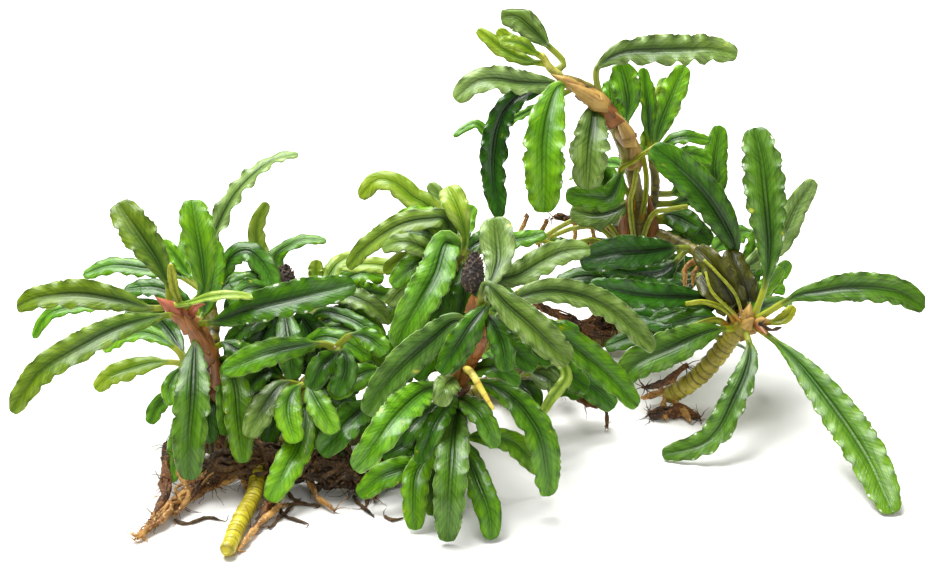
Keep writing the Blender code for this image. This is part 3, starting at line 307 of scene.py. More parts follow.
smallLeaves = {
    "shoot_left": [
        leaf(0.98, [(43.8, 87.2), (37.5, 83.6), (31.4, 84.2), (25.8, 87.6)],
              (8, 4), 5.6, (0, 0.8), "bright"),
        leaf(0.9, [(43, 90.6), (37.5, 91), (32.5, 92.4), (27.6, 94.2), (23.8, 97.4)],
              (12, 12), 6.4, (0, 0.6), "lime"),
        leaf(0.6, [(47, 101), (44.6, 110), (43.2, 120.6)], (13, 18), 5.6, (-0.4, 0.1), "mid"),
    ],
    "shoot_back_left": [
        leaf(0.96, [(43.6, 68.4), (36.4, 67.4), (28, 66.6), (20.8, 69)], (-6, -8), 6.2, (0, 0.8), "mid"),
        leaf(0.9, [(46.6, 68), (43.4, 63.4), (40.4, 60.2)], (-4, -6), 4.4, (0, 0.3), "bright"),
        leaf(0.8, [(55.6, 69), (58, 64.6), (62, 63), (66, 66.6), (69, 72.6)],
              (0, 4), 7.0, (0, 0.7), "dark"),
        leaf(0.7, [(40, 76.4), (26, 76), (16, 77.4), (11.4, 79.6), (8.4, 84.6)],
              (-2, -4), 5.0, (0, 0.8), "mid"),
        leaf(0.85, [(56, 73), (61, 74), (66, 77)], (-16, -26), 7.6, (0.2, 1.5), "mid"),
        leaf(0.8, [(49, 75), (46, 78), (43, 84)], (-16, -24), 7.6, (-0.2, 1.5), "dark"),
    ],
    "shoot_middle": [
        leaf(0.8, [(67, 70), (64.4, 61), (64.4, 56), (66.8, 50.6)], (-8, -9), 5.4, (-0.3, 0.2), "lime"),
        leaf(0.76, [(68.6, 66.4), (72.6, 61.4), (77, 60), (81.6, 60.4)], (-9, -11), 5.0, (0, 0.9), "mid"),
        leaf(0.9, [(67.4, 72.6), (62.4, 70), (57.4, 71.2)], (2, 4), 5.6, (0, 0.6), "dark"),
        leaf(0.8, [(70, 79), (67, 82), (63, 88)], (-14, -22), 8.0, (-0.3, 1.4), "mid"),
    ],
    "shoot_front": [
        leaf(0.96, [(80.4, 86), (72.5, 87), (65.6, 88.8), (55.6, 93)], (23, 24), 7.6, (-0.1, 0.3), "mid"),
        leaf(0.42, [(71, 96), (66.4, 101.4), (62, 109.4)], (20, 24), 7.4, (-0.2, 0.2), "grey"),
        leaf(0.5, [(73.4, 98), (72, 103), (74, 110.8)], (22, 26), 7.2, (0, 0.2), "bright", stalk=3),
        leaf(0.6, [(77, 96), (79.8, 101.4), (83.8, 108.4)], (24, 26), 6.8, (0.1, 0.2), "bright"),
        leaf(0.25, [(76.2, 102), (75.2, 110), (71.6, 117.4), (67.4, 125.4)],
              (22, 29), 8.2, (-0.1, 0.1), "bright"),
    ],
    "shoot_between": [
        leaf(0.6, [(92, 105.4), (87.4, 107), (82.4, 110.4)], (16, 18), 6.4, (0, 0.4), "dark"),
        leaf(0.95, [(94, 92.6), (88, 95), (82.4, 98.8)], (18, 19), 7.4, (0, 0.4), "mid"),
        leaf(0.8, [(99, 95), (103, 93), (107, 95)], (-4, -12), 7.0, (0.3, 1.2), "mid"),
        leaf(0.9, [(98.4, 89), (100, 84), (102, 78)], (-10, -24), 7.6, (-0.2, 1.2), "dark"),
    ],
    "shoot_back": [
        leaf(0.8, [(108.4, 54), (103, 49.4), (98.4, 45.8), (94, 45.4), (90, 49.6)],
              (2, 0), 6.8, (0, 0.5), "lime"),
        leaf(0.86, [(112, 53), (109.4, 48.6), (107.4, 45.8)], (1, -3), 5.4, (0, 0.3), "grey", stalk=3),
        leaf(0.88, [(110, 64.6), (104, 61.4), (100, 60.8), (95.6, 62.2)], (15, 14), 6.2, (0, 0.6), "grey"),
        leaf(0.8, [(108, 67.6), (101, 65), (96, 68.2)], (8, 8), 5.2, (0, 0.6), "lime"),
        leaf(0.75, [(106, 69), (94, 66.4), (85.4, 67)], (2, 0), 5.0, (0, 0.6), "lime"),
        leaf(0.9, [(120, 62.6), (126, 60.6), (132, 59.6), (136.4, 58.4)], (6, 3), 5.6, (0, 0.7), "mid"),
    ],
    "shoot_low": [
        leaf(0.8, [(106, 116), (100, 117.6), (95, 119.6), (89.6, 124)], (25, 25), 7.2, (0, 0.3), "mid"),
        leaf(0.9, [(106.6, 114.6), (104.2, 119), (103.6, 125), (103.8, 132.6)],
              (30, 32), 7.0, (0, 0.1), "bright", rest=0.8),
        leaf(0.96, [(116.6, 114), (119.6, 121), (122.2, 128), (122.8, 135)],
              (33, 38), 7.2, (0.1, 0.1), "mid", rest=0.8),
        leaf(0.94, [(117.4, 109.4), (122.4, 109.4), (128.8, 111.2), (135, 118)],
              (22, 18), 6.2, (0, 0.3), "bright"),
    ],
    "shoot_side": [
        leaf(0.96, [(128, 88), (132.4, 88.2), (138, 90.6)], (6, 6), 6.0, (0, 0.4), "dark"),
        leaf(0.9, [(133, 93), (137, 95), (140, 98)], (4, 6), 6.2, (0, 0.4), "grey"),
        leaf(0.7, [(137, 93), (142.4, 94.4), (148, 97), (153.6, 102)], (-8, -8), 8.0, (0, 0.3), "dark"),
        leaf(0.98, [(134, 91.4), (139.4, 90.6), (141.6, 94.4), (138, 99.4), (135, 104.4)],
              (8, 10), 3.2, (0, 0.2), "lime"),
        leaf(0.5, [(124, 91), (121, 88), (117, 84.6)], (-30, -42), 7.4, (0.3, 1.3), "mid"),
        leaf(0.3, [(126, 86), (125.6, 80), (124.4, 73)], (-28, -32), 7.6, (0.2, 1.0), "mid"),
    ],
    "shoot_tall": [
        leaf(0.66, [(153, 48.8), (148, 49.4), (141.4, 48.8)], (-24, -23), 7.4, (0, 0.3), "mid"),
        leaf(0.7, [(157, 27), (156.6, 22), (155, 15.8)], (-30, -31), 8.0, (0, 0.1), "mid", ruffle=0.8, belly=1.6),
        leaf(0.58, [(154, 41), (148.6, 42), (143, 44.4)], (-42, -54), 8.6, (-0.3, 1.4), "mid"),
        leaf(0.5, [(159, 50), (158, 53), (155, 60)], (-50, -58), 8.6, (0, 1.6), "dark"),
        leaf(0.72, [(156, 34), (160, 37), (166, 42)], (-44, -56), 8.6, (0.3, 1.5), "mid"),
        leaf(0.93, [(127, 30.6), (122.6, 33.4), (118.6, 31), (113.4, 34.2)],
              (-30, -31), 3.4, (0, 0.7), "mid"),
    ],
    "shoot_tall_side": [
        leaf(0.97, [(162.2, 34), (162, 27.4), (160.8, 17)], (-34, -37), 5.4, (0.5, 0.1), "mid"),
        leaf(0.9, [(164.4, 33.6), (167, 26.2), (171.2, 16.4)], (-36, -39), 7.4, (0.2, 0.2), "bright", ruffle=1.2),
        leaf(0.82, [(166.4, 36.4), (171, 34.4), (177.6, 35.2)], (-32, -33), 5.0, (0, 0.8), "mid"),
        leaf(0.36, [(170, 50.4), (178, 46.4), (178.6, 41.4), (180, 31.4)],
              (-40, -44), 7.4, (0.2, 0.2), "mid"),
        leaf(0.22, [(164.6, 54.4), (168, 54), (175, 57.4)], (-34, -32), 7.6, (0, 0.4), "dark"),
    ],
    "shoot_middle_side": [
        leaf(0.98, [(79.6, 72), (79, 68.4), (79.2, 65)], (-7, -8), 4.2, (0, 0.3), "lime"),
        leaf(0.5, [(79.6, 78.4), (86.4, 79.4), (93, 83), (98.6, 88)], (7, 10), 4.8, (0, 0.6), "dark"),
        leaf(0.8, [(81.6, 75.6), (86.4, 75), (94.4, 81)], (0, 2), 5.0, (0, 0.6), "dark"),
        leaf(0.94, [(83.4, 71.6), (91.4, 73), (101.4, 75.4)], (-6, -6), 6.0, (0, 0.5), "bright", ruffle=0.9),
        leaf(0.4, [(78.4, 81), (81, 82.4), (85, 86)], (-16, -26), 8.0, (0.2, 1.4), "dark"),
    ],
    "shoot_tip": [
        leaf(0.3, [(141, 15.6), (136.6, 11), (133, 7.4), (129.2, 4.4), (125.2, 4.6)],
              (-24, -25), 7.6, (0, 0.2), "grey", stalk=9, belly=1.5),
        leaf(0.8, [(133.4, 13), (130, 11), (125, 10.4)], (-19, -19), 4.6, (0, 0.4), "lime", stalk=2),
        leaf(0.6, [(131, 15), (126, 12.6), (119.4, 7.4)], (-22, -24), 4.6, (0, 0.3), "lime", stalk=2),
    ],
    "shoot_link": [
        leaf(0.4, [(188, 66), (195, 60), (199, 52), (203.6, 45)], (-30, -34), 7.2, (0.1, 0.2), "grey"),
        leaf(0.3, [(178, 77), (170, 78.2), (162, 80.6)], (-16, -16), 5.6, (0, 0.6), "dark"),
        leaf(0.35, [(174, 76), (164, 82), (151.4, 87)], (-24, -28), 7.2, (0, 0.7), "dark"),
        leaf(0.6, [(182, 60), (186, 58), (191, 60)], (-40, -50), 7.6, (0.3, 1.4), "mid"),
        leaf(0.2, [(190, 73), (194, 69.6), (197.4, 65.4)], (-20, -22), 5.0, (0.2, 0.5), "mid"),
    ],
    "shoot_right": [
        leaf(0.9, [(190.5, 77), (193, 76), (197, 75)], (-24, -36), 7.6, (0.2, 1.5), "mid"),
        leaf(0.7, [(182, 86), (184, 86), (188, 88)], (-26, -36), 7.0, (0.2, 1.3), "dark"),
    ],
}

# Small leaves deep in the clump and behind it, which are left to the scene, by what carries them.
fillLeaves = {
    "stem_left": [
        leaf(0.97, [(46.4, 76), (52, 74.4), (58, 73.8), (63.8, 74.4)], (22, 22), 3.4, (0, 0.9), "lime", stalk=3, ruffle=0.2),
        leaf(0.9, [(45, 76), (43.6, 72), (42.6, 66)], (18, 20), 2.6, (0, 0.3), "young", stalk=2, ruffle=0.1),
        leaf(0.86, [(50, 80), (52, 74), (53.4, 66), (53.4, 60)], (8, 4), 7.0, (0.2, 0.3), "mid"),
        leaf(0.6, [(56, 86), (60, 88), (66, 90)], (16, 18), 6.0, (0, 0.5), "dark", ruffle=0.8),
    ],
    "shoot_left": [
        leaf(0.9, [(44.4, 93), (42.4, 97), (42.6, 101.4)], (15, 18), 4.4, (-0.2, 0.1), "bright", stalk=2),
        leaf(0.5, [(45, 98), (40, 101), (37.4, 106)], (9, 10), 5.0, (-0.2, 0.5), "mid"),
        leaf(0.85, [(43, 84), (38, 79), (31, 78.6)], (2, 0), 6.0, (0, 0.7), "dark"),
    ],
    "shoot_back_left": [
        leaf(0.6, [(49, 78), (44, 74), (38, 72), (31, 72.6)], (0, -3), 6.4, (0, 0.8), "dark"),
        leaf(0.92, [(49, 68), (47.4, 62), (47, 57)], (-8, -12), 6.2, (-0.2, 0.3), "mid"),
        leaf(0.75, [(56, 72), (60, 70), (65, 70.6)], (-6, -8), 6.0, (0, 0.8), "mid"),
        leaf(0.5, [(57, 80), (62, 81), (68, 84)], (0, -2), 7.0, (0, 0.7), "dark"),
    ],
    "shoot_middle": [
        leaf(0.95, [(67, 73), (62, 72.4), (57, 75.6)], (6, 7), 6.4, (0, 0.7), "dark", ruffle=0.8),
        leaf(0.9, [(75, 72.4), (80, 71.6), (84.6, 74)], (5, 6), 6.0, (0, 0.7), "vivid", ruffle=0.9),
        leaf(0.7, [(67, 80), (61, 82.4), (56.4, 88)], (2, 0), 7.2, (-0.1, 0.8), "dark"),
        leaf(0.55, [(79, 85), (86, 85.6), (92.6, 90)], (8, 10), 6.6, (0, 0.6), "mid", ruffle=0.8),
        leaf(0.4, [(68, 93), (63, 96), (60, 101)], (2, 0), 7.4, (0, 0.8), "dark"),
        leaf(0.3, [(79, 97), (85, 100), (89, 106)], (0, -2), 7.4, (0, 0.8), "dark"),
    ],
    "shoot_middle_side": [
        leaf(0.95, [(84, 72), (90, 68.6), (96, 69.6)], (-4, -5), 6.2, (0, 0.6), "bright", ruffle=1.0),
        leaf(0.9, [(85, 74), (92, 76), (98, 80.6)], (4, 4), 6.4, (0, 0.6), "grey", ruffle=1.0),
        leaf(0.7, [(84, 78), (90, 79), (96, 84.4)], (2, 2), 6.0, (0, 0.7), "mid", ruffle=0.9),
        leaf(0.5, [(83, 82), (90, 84), (97, 92)], (4, 6), 6.0, (0, 0.6), "vivid", ruffle=0.9),
        leaf(0.98, [(82, 70), (84.6, 66), (89, 63.6)], (-12, -15), 5.2, (0, 0.5), "lime", ruffle=0.8),
        leaf(0.3, [(82, 86), (88, 89), (93, 96)], (-4, -8), 7.4, (0, 0.9), "dark"),
    ],
    "shoot_front": [
        leaf(0.98, [(87.4, 84), (92, 84.6), (97, 88.4)], (20, 22), 6.4, (0, 0.4), "mid", ruffle=0.9),
        leaf(0.3, [(78, 102), (81.6, 107), (86.4, 113.6)], (15, 16), 6.6, (0, 0.4), "dark"),
        leaf(0.5, [(76, 99), (70, 104), (66.4, 111)], (12, 12), 6.6, (0, 0.4), "dark"),
    ],
    "shoot_between": [
        leaf(0.98, [(100, 91.4), (104, 89), (108, 88)], (14, 15), 6.4, (0, 0.5), "dark", ruffle=0.8),
        leaf(0.9, [(96, 91), (92, 88), (89, 84)], (0, -4), 6.8, (0, 0.7), "mid", ruffle=0.8),
        leaf(0.5, [(98, 102), (97.4, 107), (95, 112.6)], (14, 16), 6.4, (0, 0.3), "dark"),
    ],
    "shoot_back": [
        leaf(0.96, [(113, 58), (108, 54.4), (103, 54), (98, 57)], (6, 6), 6.0, (0, 0.6), "bright", ruffle=1.0),
        leaf(0.92, [(112, 61), (106, 58), (101, 58), (97, 60.4)], (2, 0), 6.4, (0, 0.6), "mid", ruffle=1.0),
        leaf(0.88, [(110, 64), (104, 66), (98, 71.6)], (14, 16), 7.0, (0, 0.4), "mid", ruffle=0.9),
        leaf(0.8, [(109, 70), (103, 71), (97, 76.4)], (10, 11), 6.6, (0, 0.5), "grey", ruffle=1.0),
        leaf(0.75, [(109, 72), (103, 75), (99, 81.4)], (6, 6), 6.8, (0, 0.5), "dark", ruffle=0.8),
        leaf(0.9, [(118, 62), (121.6, 60.6), (126, 62.4)], (4, 2), 7.0, (0, 0.5), "dark", ruffle=0.8),
        leaf(0.7, [(118.6, 74), (124, 73), (129, 75)], (0, -4), 7.4, (0, 0.8), "dark"),
        leaf(0.5, [(111, 84), (106, 86), (101.6, 91)], (-2, -4), 7.4, (0, 0.8), "dark"),
        leaf(0.45, [(118, 86), (124, 85), (130, 87)], (-6, -10), 7.4, (0, 0.8), "dark"),
        leaf(0.98, [(114.6, 58), (112.6, 53), (111.4, 48.6)], (4, 0), 5.6, (-0.2, 0.2), "lime", ruffle=0.9),
        leaf(0.98, [(116, 58.4), (117, 54), (118.6, 51.6)], (2, -2), 5.0, (0.2, 0.2), "bright", ruffle=0.9),
    ],
    "stem_center": [
        leaf(0.92, [(121.4, 77), (118, 83), (111.4, 93)], (36, 36), 6.4, (0.1, 0.2), "dark"),
        leaf(0.55, [(114, 94.6), (111.4, 97), (110, 101.6)], (34, 35), 6.8, (0, 0.1), "grey", stalk=3),
        leaf(0.48, [(113, 100), (109, 106), (104.6, 116)], (34, 37), 6.2, (-0.2, 0.2), "dark"),
        leaf(0.75, [(123, 86), (128, 88), (134, 92)], (24, 22), 7.4, (0.1, 0.5), "dark"),
        leaf(0.9, [(123, 78), (128, 80), (133, 85)], (22, 20), 7.0, (0.1, 0.6), "mid", ruffle=0.8),
        leaf(0.8, [(114, 82), (110, 86), (104, 95)], (20, 18), 7.0, (-0.1, 0.4), "dark"),
        leaf(0.4, [(117, 101), (121, 105), (124, 112)], (28, 28), 6.4, (0.1, 0.3), "mid"),
        leaf(0.35, [(108, 102), (102, 108), (98, 116)], (20, 18), 6.8, (0, 0.4), "dark"),
    ],
    "shoot_low": [
        leaf(0.7, [(107, 111), (101, 111.6), (95.6, 114.4)], (20, 20), 6.6, (0, 0.4), "dark"),
        leaf(0.9, [(110, 115), (108, 122), (108.4, 129)], (26, 28), 6.0, (0, 0.2), "vivid"),
        leaf(0.6, [(114, 112), (118, 116), (120, 122.6)], (20, 20), 6.4, (0, 0.3), "dark"),
    ],
    "shoot_side": [
        leaf(0.9, [(134, 90), (141, 93), (147, 97.4)], (0, -2), 7.6, (0, 0.6), "dark", ruffle=0.9),
        leaf(0.8, [(135, 88), (142, 87.6), (149, 91)], (-10, -12), 7.6, (0, 0.7), "mid"),
        leaf(0.7, [(130, 96), (133, 99), (133.6, 103.4)], (0, 2), 6.0, (0, 0.3), "dark", ruffle=0.9),
        leaf(0.6, [(135, 94), (143, 97.4), (151, 98)], (-14, -18), 7.0, (0, 0.8), "dark"),
        leaf(0.98, [(135, 87), (139, 83), (145, 83)], (-4, -6), 7.0, (0, 0.7), "dark"),
    ],
    "shoot_tall": [
        leaf(0.68, [(155.6, 34), (153.4, 27), (152.6, 20)], (-30, -33), 6.6, (-0.2, 0.1), "mid", ruffle=1.0),
        leaf(0.66, [(160.4, 38), (164, 30), (165.4, 21.6)], (-38, -42), 6.6, (0.3, 0.1), "lime", ruffle=1.0),
        leaf(0.55, [(155.6, 52), (149, 54), (142.6, 52.6)], (-32, -33), 8.0, (0, 0.4), "grey", ruffle=0.8),
        leaf(0.3, [(152, 61.4), (144, 62.6), (136, 60.4)], (-42, -44), 6.6, (0, 0.7), "dark", ruffle=0.9),
        leaf(0.35, [(164, 60), (170, 60.4), (174, 57)], (-40, -42), 8.0, (0, 0.5), "dark", ruffle=0.9),
        leaf(0.5, [(154, 50), (151, 44), (147, 41)], (-44, -50), 7.4, (-0.2, 0.6), "mid", ruffle=0.9),
        leaf(0.25, [(164, 66), (171, 66.6), (178, 70)], (-44, -46), 7.6, (0, 0.7), "dark"),
        leaf(0.2, [(152, 70), (145, 69.6), (138, 72)], (-46, -48), 7.6, (0, 0.8), "dark"),
    ],
    "shoot_tall_side": [
        leaf(0.95, [(163.6, 34), (166, 27), (166.4, 19.4)], (-40, -44), 6.2, (0.1, 0.1), "vivid", ruffle=1.0),
        leaf(0.8, [(168, 40), (173, 38.6), (178, 40.4)], (-36, -38), 5.6, (0, 0.5), "mid", ruffle=0.9),
        leaf(0.5, [(169, 48), (173.4, 43), (175, 37)], (-44, -48), 6.6, (0.2, 0.2), "mid", ruffle=0.9),
        leaf(0.1, [(168, 55.6), (173, 57), (178, 61)], (-38, -38), 6.6, (0, 0.4), "dark"),
    ],
    "shoot_tip": [
        leaf(0.9, [(132.4, 12.6), (128, 10.4), (124.4, 7.4)], (-26, -28), 4.4, (0, 0.4), "lime", stalk=2, ruffle=0.8),
    ],
    "shoot_link": [
        leaf(0.85, [(170, 66), (163, 68), (156, 69.4)], (-30, -30), 7.2, (0, 0.6), "dark"),
        leaf(0.5, [(176, 68.6), (171, 70.4), (166, 75)], (-26, -26), 7.4, (0, 0.6), "dark"),
        leaf(0.45, [(186, 70), (190, 63), (192, 55)], (-34, -38), 7.4, (0.2, 0.3), "dark"),
        leaf(0.25, [(188, 74), (192, 72), (196.4, 72.6)], (-24, -26), 5.6, (0, 0.6), "mid"),
        leaf(0.6, [(186, 66), (190, 60), (192.4, 52)], (-30, -33), 6.4, (0.1, 0.1), "mid"),
    ],
    "shoot_right": [
        leaf(0.92, [(188, 76), (192, 71), (195.6, 67)], (-16, -18), 4.6, (0.1, 0.3), "bright", ruffle=0.8),
        leaf(0.8, [(181, 81), (175, 79.6), (168, 81)], (-12, -12), 7.0, (0, 0.6), "dark"),
        leaf(0.72, [(178, 84), (170, 83), (160, 85.6)], (-16, -18), 7.6, (0, 0.7), "dark"),
        leaf(0.96, [(192.6, 80.6), (196, 79.6), (198.6, 76.6)], (-8, -8), 3.6, (0, 0.4), "young", ruffle=0.3),
    ],
}

# Papery sheaths at the crowns and bare leaf stalks between them, by the stem that carries them.
crownPieces = {
    "stem_left": [
        sheath(0.97, [(45.4, 78.6), (42, 76), (38.8, 74.3)], (17, 17), 4.6, (-0.3, 0.6), "rosySheath"),
        sheath(0.9, [(48, 82), (45, 79.6), (42.4, 78.6)], (17, 17.5), 4.8, (-0.2, 0.5), "sheath"),
        sheath(0.78, [(51, 86), (48.4, 82.4), (46, 78.6)], (16.6, 18), 5.2, (0, 0.3), "sheath"),
        sheath(0.62, [(53.4, 91), (52, 87), (49.6, 82.6)], (15, 17), 5.2, (0.1, 0.2), "sheath"),
        sheath(0.45, [(54.4, 98), (54.2, 93), (53, 87.6)], (12, 15), 5.0, (0.1, 0.1), "sheath"),
        sheath(0.85, [(47, 78.4), (49, 76.4), (51.4, 76)], (18, 18), 2.8, (0, 0.5), "rosySheath"),
        leaf(0.35, [(54, 98), (52.4, 104), (53.2, 111)], (11, 12), 5.4, (0.2, 0.2), "dark", stalk=2),
        leaf(0.45, [(55, 94), (56.4, 101), (56.2, 109)], (13, 14), 5.0, (0.2, 0.2), "mid", stalk=2),
    ],
    "stem_center": [
        sheath(0.97, [(119, 78), (118.4, 76), (118, 73.6)], (32, 32), 5.0, (0, 0.2), "sheath"),
        sheath(0.86, [(119.4, 84), (119.6, 80), (118.4, 76.4)], (33, 33.4), 5.2, (-0.1, 0.2), "sheath"),
        sheath(0.72, [(117, 90), (118.6, 86), (118.6, 81.6)], (31, 34), 5.2, (-0.1, 0.2), "sheath"),
        sheath(0.56, [(114.4, 96), (116.4, 92), (118, 87.4)], (27, 32), 5.4, (0, 0.2), "sheath"),
        leaf(0.92, [(122.6, 80), (125.6, 86), (126.6, 93)], (36, 36), 6.6, (0.2, 0.1), "dark", stalk=2),
        leaf(0.95, [(121.6, 76.4), (116.6, 83), (110, 93.4)], (38, 38), 6.6, (0, 0.2), "dark", stalk=3),
        leaf(0.6, [(121, 92), (125, 92.4), (130, 96)], (31, 30), 6.0, (0.1, 0.5), "dark", stalk=2),
    ],
    "shoot_tall": [
        sheath(0.93, [(150.4, 25), (146, 22.6), (140.8, 20.2)], (-17.5, -18), 6.0, (0, 0.5), "tanSheath"),
        sheath(0.97, [(145, 21.4), (141.6, 19.8), (137.6, 18.6)], (-18, -19), 4.0, (0, 0.5), "tanSheath"),
        sheath(0.85, [(153.6, 29.6), (150.6, 26), (147.2, 23.2)], (-19, -18.6), 5.2, (0, 0.3), "sheath"),
        sheath(0.78, [(157.6, 35), (155.8, 31), (152.6, 27)], (-22, -21), 4.6, (0, 0.2), "tanSheath"),
        sheath(0.68, [(158.8, 41), (158.4, 36), (156.4, 31.6)], (-26, -24), 4.6, (0, 0.1), "tanSheath"),
        sheath(0.3, [(156.4, 58), (157, 52), (157.8, 45.6)], (-33, -30), 4.6, (-0.2, 0.1), "sheath"),
        sheath(0.24, [(163.4, 60), (163.2, 54), (162, 48)], (-35, -33), 4.6, (0.2, 0.1), "sheath"),
        bareStalk(0.42, [(161.4, 49), (161.6, 44), (160.6, 38)], (-28, -27)),
        bareStalk(0.46, [(155, 43.6), (158.4, 40.4), (164.6, 36)], (-27, -25)),
        bareStalk(0.3, [(157.6, 52), (158.6, 46), (159.6, 40)], (-29, -28)),
        bareStalk(0.34, [(163, 54), (167.4, 52.4), (172, 51.6)], (-30, -29)),
        bareStalk(0.28, [(152, 56), (146, 54.4), (139.6, 57), (133.8, 61)], (-36, -34)),
        bareStalk(0.24, [(151.4, 58), (144, 57), (137, 59.6)], (-38, -37)),
        bareStalk(0.22, [(150, 60.6), (141, 61.4), (134.6, 60)], (-40, -40)),
    ],
    "shoot_link": [
        leaf(0.3, [(184.6, 77), (181.4, 71), (178, 66), (174, 62)], (-10, -14), 8.0, (-0.3, 0.1), "oldLeaf", 1, 1.1),
        leaf(0.4, [(186.4, 75), (185, 69), (182.6, 62.4)], (-14, -19), 8.0, (0.3, 0.1), "oldLeaf", 1, 1.1),
        leaf(0.5, [(182, 76), (178, 73), (175, 69)], (-13, -17), 6.6, (-0.3, 0.4), "oldLeaf", 1, 1.1),
        leaf(0.75, [(166, 68), (158, 68.6), (150, 66.6)], (-27, -27), 8.4, (0, 0.5), "deep"),
        leaf(0.5, [(170, 72), (162, 72.6), (152, 70.4)], (-20, -20), 8.4, (0, 0.6), "deep"),
        leaf(0.3, [(174, 79), (166, 80), (157, 78.6)], (-16, -17), 8.0, (0, 0.6), "deep"),
    ],
    "shoot_front": [
        leaf(0.97, [(84.6, 88), (80.6, 91.6), (77.6, 97.4)], (24, 24), 6.6, (0.1, 0.1), "dark", 2),
        leaf(0.9, [(86, 88.6), (86.4, 93), (84, 99)], (22, 22), 6.6, (0.1, 0.1), "dark", 2, 0.9),
        leaf(0.6, [(80, 96), (84, 98), (88, 102)], (16, 16), 7.4, (0.2, 0.2), "dark", 2),
    ],
    "shoot_back": [
        leaf(0.95, [(116, 66), (116.2, 73), (114.6, 82)], (14, 15), 6.6, (0, 0.1), "dark", 2),
        leaf(0.9, [(113, 66), (110.6, 73), (109.4, 81)], (10, 9), 7.6, (-0.1, 0.1), "dark", 2, 0.9),
        leaf(0.5, [(112, 80), (108.6, 86), (107.6, 93)], (4, 4), 8.6, (0, 0.1), "deep", 2),
        leaf(0.6, [(120, 78), (126, 77), (133, 79)], (-10, -16), 8.6, (0, 0.7), "deep"),
        leaf(0.5, [(120, 83), (128, 81), (137, 82.6)], (-14, -20), 8.6, (0, 0.7), "deep"),
        leaf(0.4, [(110, 86), (105, 83), (99, 84.6)], (-10, -14), 8.6, (0, 0.7), "deep"),
        leaf(0.7, [(109, 76), (103, 78.6), (96, 78)], (-4, -8), 8.6, (0, 0.7), "deep"),
    ],
    "shoot_middle": [
        leaf(0.97, [(71.4, 79), (72.4, 86), (73.4, 95)], (7, 8), 7.4, (0, 0.1), "dark", 2),
        leaf(0.9, [(68, 80), (64.6, 86), (63.4, 93)], (3, 2), 8.0, (-0.1, 0.1), "deep", 2),
        leaf(0.8, [(75.6, 80), (79, 86), (80.4, 93)], (2, 0), 8.6, (0.1, 0.1), "deep", 2),
        leaf(0.6, [(70, 90), (67, 96), (67, 104)], (0, -1), 8.6, (-0.1, 0.1), "deep", 2),
        leaf(0.5, [(77, 92), (83, 94), (88, 99)], (-1, -3), 9.0, (0.1, 0.2), "deep", 2),
        leaf(0.7, [(77, 84), (84, 86), (90, 91)], (-4, -6), 9.0, (0.1, 0.2), "deep", 2),
        leaf(0.7, [(78, 82), (84, 80), (91, 81.6)], (-8, -12), 8.6, (0, 0.8), "deep"),
        leaf(0.5, [(68, 88), (62, 87), (56, 89)], (-6, -8), 8.6, (0, 0.8), "deep"),
        leaf(0.85, [(66, 76), (61, 75), (56, 77)], (-6, -10), 8.0, (0, 0.8), "deep"),
        leaf(0.3, [(79, 98), (84, 95), (90, 97)], (-8, -12), 8.6, (0, 0.8), "deep"),
        leaf(0.2, [(70, 102), (65, 100), (60, 104)], (-4, -6), 8.6, (0, 0.8), "deep"),
    ],
    "shoot_right": [
        sheath(0.97, [(189, 79.8), (190.2, 81.6), (191.8, 83.8)], (-7, -4), 3.0, (0.1, 0.3), "sheath"),
        sheath(0.93, [(187.8, 81), (187.2, 78.4), (187.6, 75.6)], (-8, -9), 4.4, (0, 0.2), "tanSheath"),
        sheath(0.95, [(188, 80.8), (190.4, 80), (192.8, 80)], (-7, -7), 3.4, (0.2, 0.3), "tanSheath"),
        sheath(0.86, [(184.4, 82.6), (186.4, 81), (188.6, 79.6)], (-8.6, -6.6), 5.0, (0, 0.2), "tanSheath"),
        bareStalk(0.84, [(182, 78), (176.4, 75.6), (171.4, 76)], (-9, -8)),
        bareStalk(0.8, [(179.6, 80), (173.6, 81.4), (169.6, 84)], (-9, -8)),
        bareStalk(0.9, [(184, 74), (179, 68), (176, 65)], (-8, -10), width=0.9),
        bareStalk(0.9, [(183, 78), (178, 73), (176.4, 68)], (-7, -9), width=0.9),
    ],
}

flowers = {
    "knob_middle": ("shoot_middle", 1.0, [
        (71.5, 74.6, -2, 2.0), (71.4, 72, -2, 3.1), (71.2, 69.2, -2, 2.7), (71.1, 66.4, -2, 1.1)], "knob"),
    "knob_center": ("stem_center", 1.0, [
        (118, 73.2, 30, 2.2), (118.2, 70.6, 29.6, 3.0), (118.5, 66.8, 29, 2.5),
        (118.6, 63.2, 28.4, 1.0)], "knob"),
    "spike": ("stem_center", 0.66, [
        (118, 93.4, 36, 0.9), (120.6, 97.8, 39, 0.75), (123.5, 102.6, 41, 0.4)], "spike"),
}




def smoothCurve(points, steps=10):
    # a Catmull-Rom curve through the points; columns after the first three ride along
    points = np.array(points, float)
    ends = np.vstack([2 * points[0] - points[1], points, 2 * points[-1] - points[-2]])
    t = np.arange(steps)[:, None] / steps
    runs = [
        0.5 * (2 * b + (c - a) * t + (2 * a - 5 * b + 4 * c - d) * t * t + (3 * b - a - 3 * c + d) * t ** 3)
        for a, b, c, d in zip(ends, ends[1:], ends[2:], ends[3:])
    ]
    return np.vstack(runs + [points[-1:]])


def runLengths(curve):
    return np.concatenate([[0], np.cumsum(np.linalg.norm(np.diff(curve[:, :3], axis=0), axis=1))])


def readAlong(curve, shares):
    # the curve's points at these shares of its length
    run = runLengths(curve)
    goal = np.clip(shares, 0, 1) * run[-1]
    return np.stack([np.interp(goal, run, column) for column in curve.T], axis=-1)


def unit(vectors):
    return vectors / np.maximum(np.linalg.norm(vectors, axis=-1, keepdims=True), 1e-12)


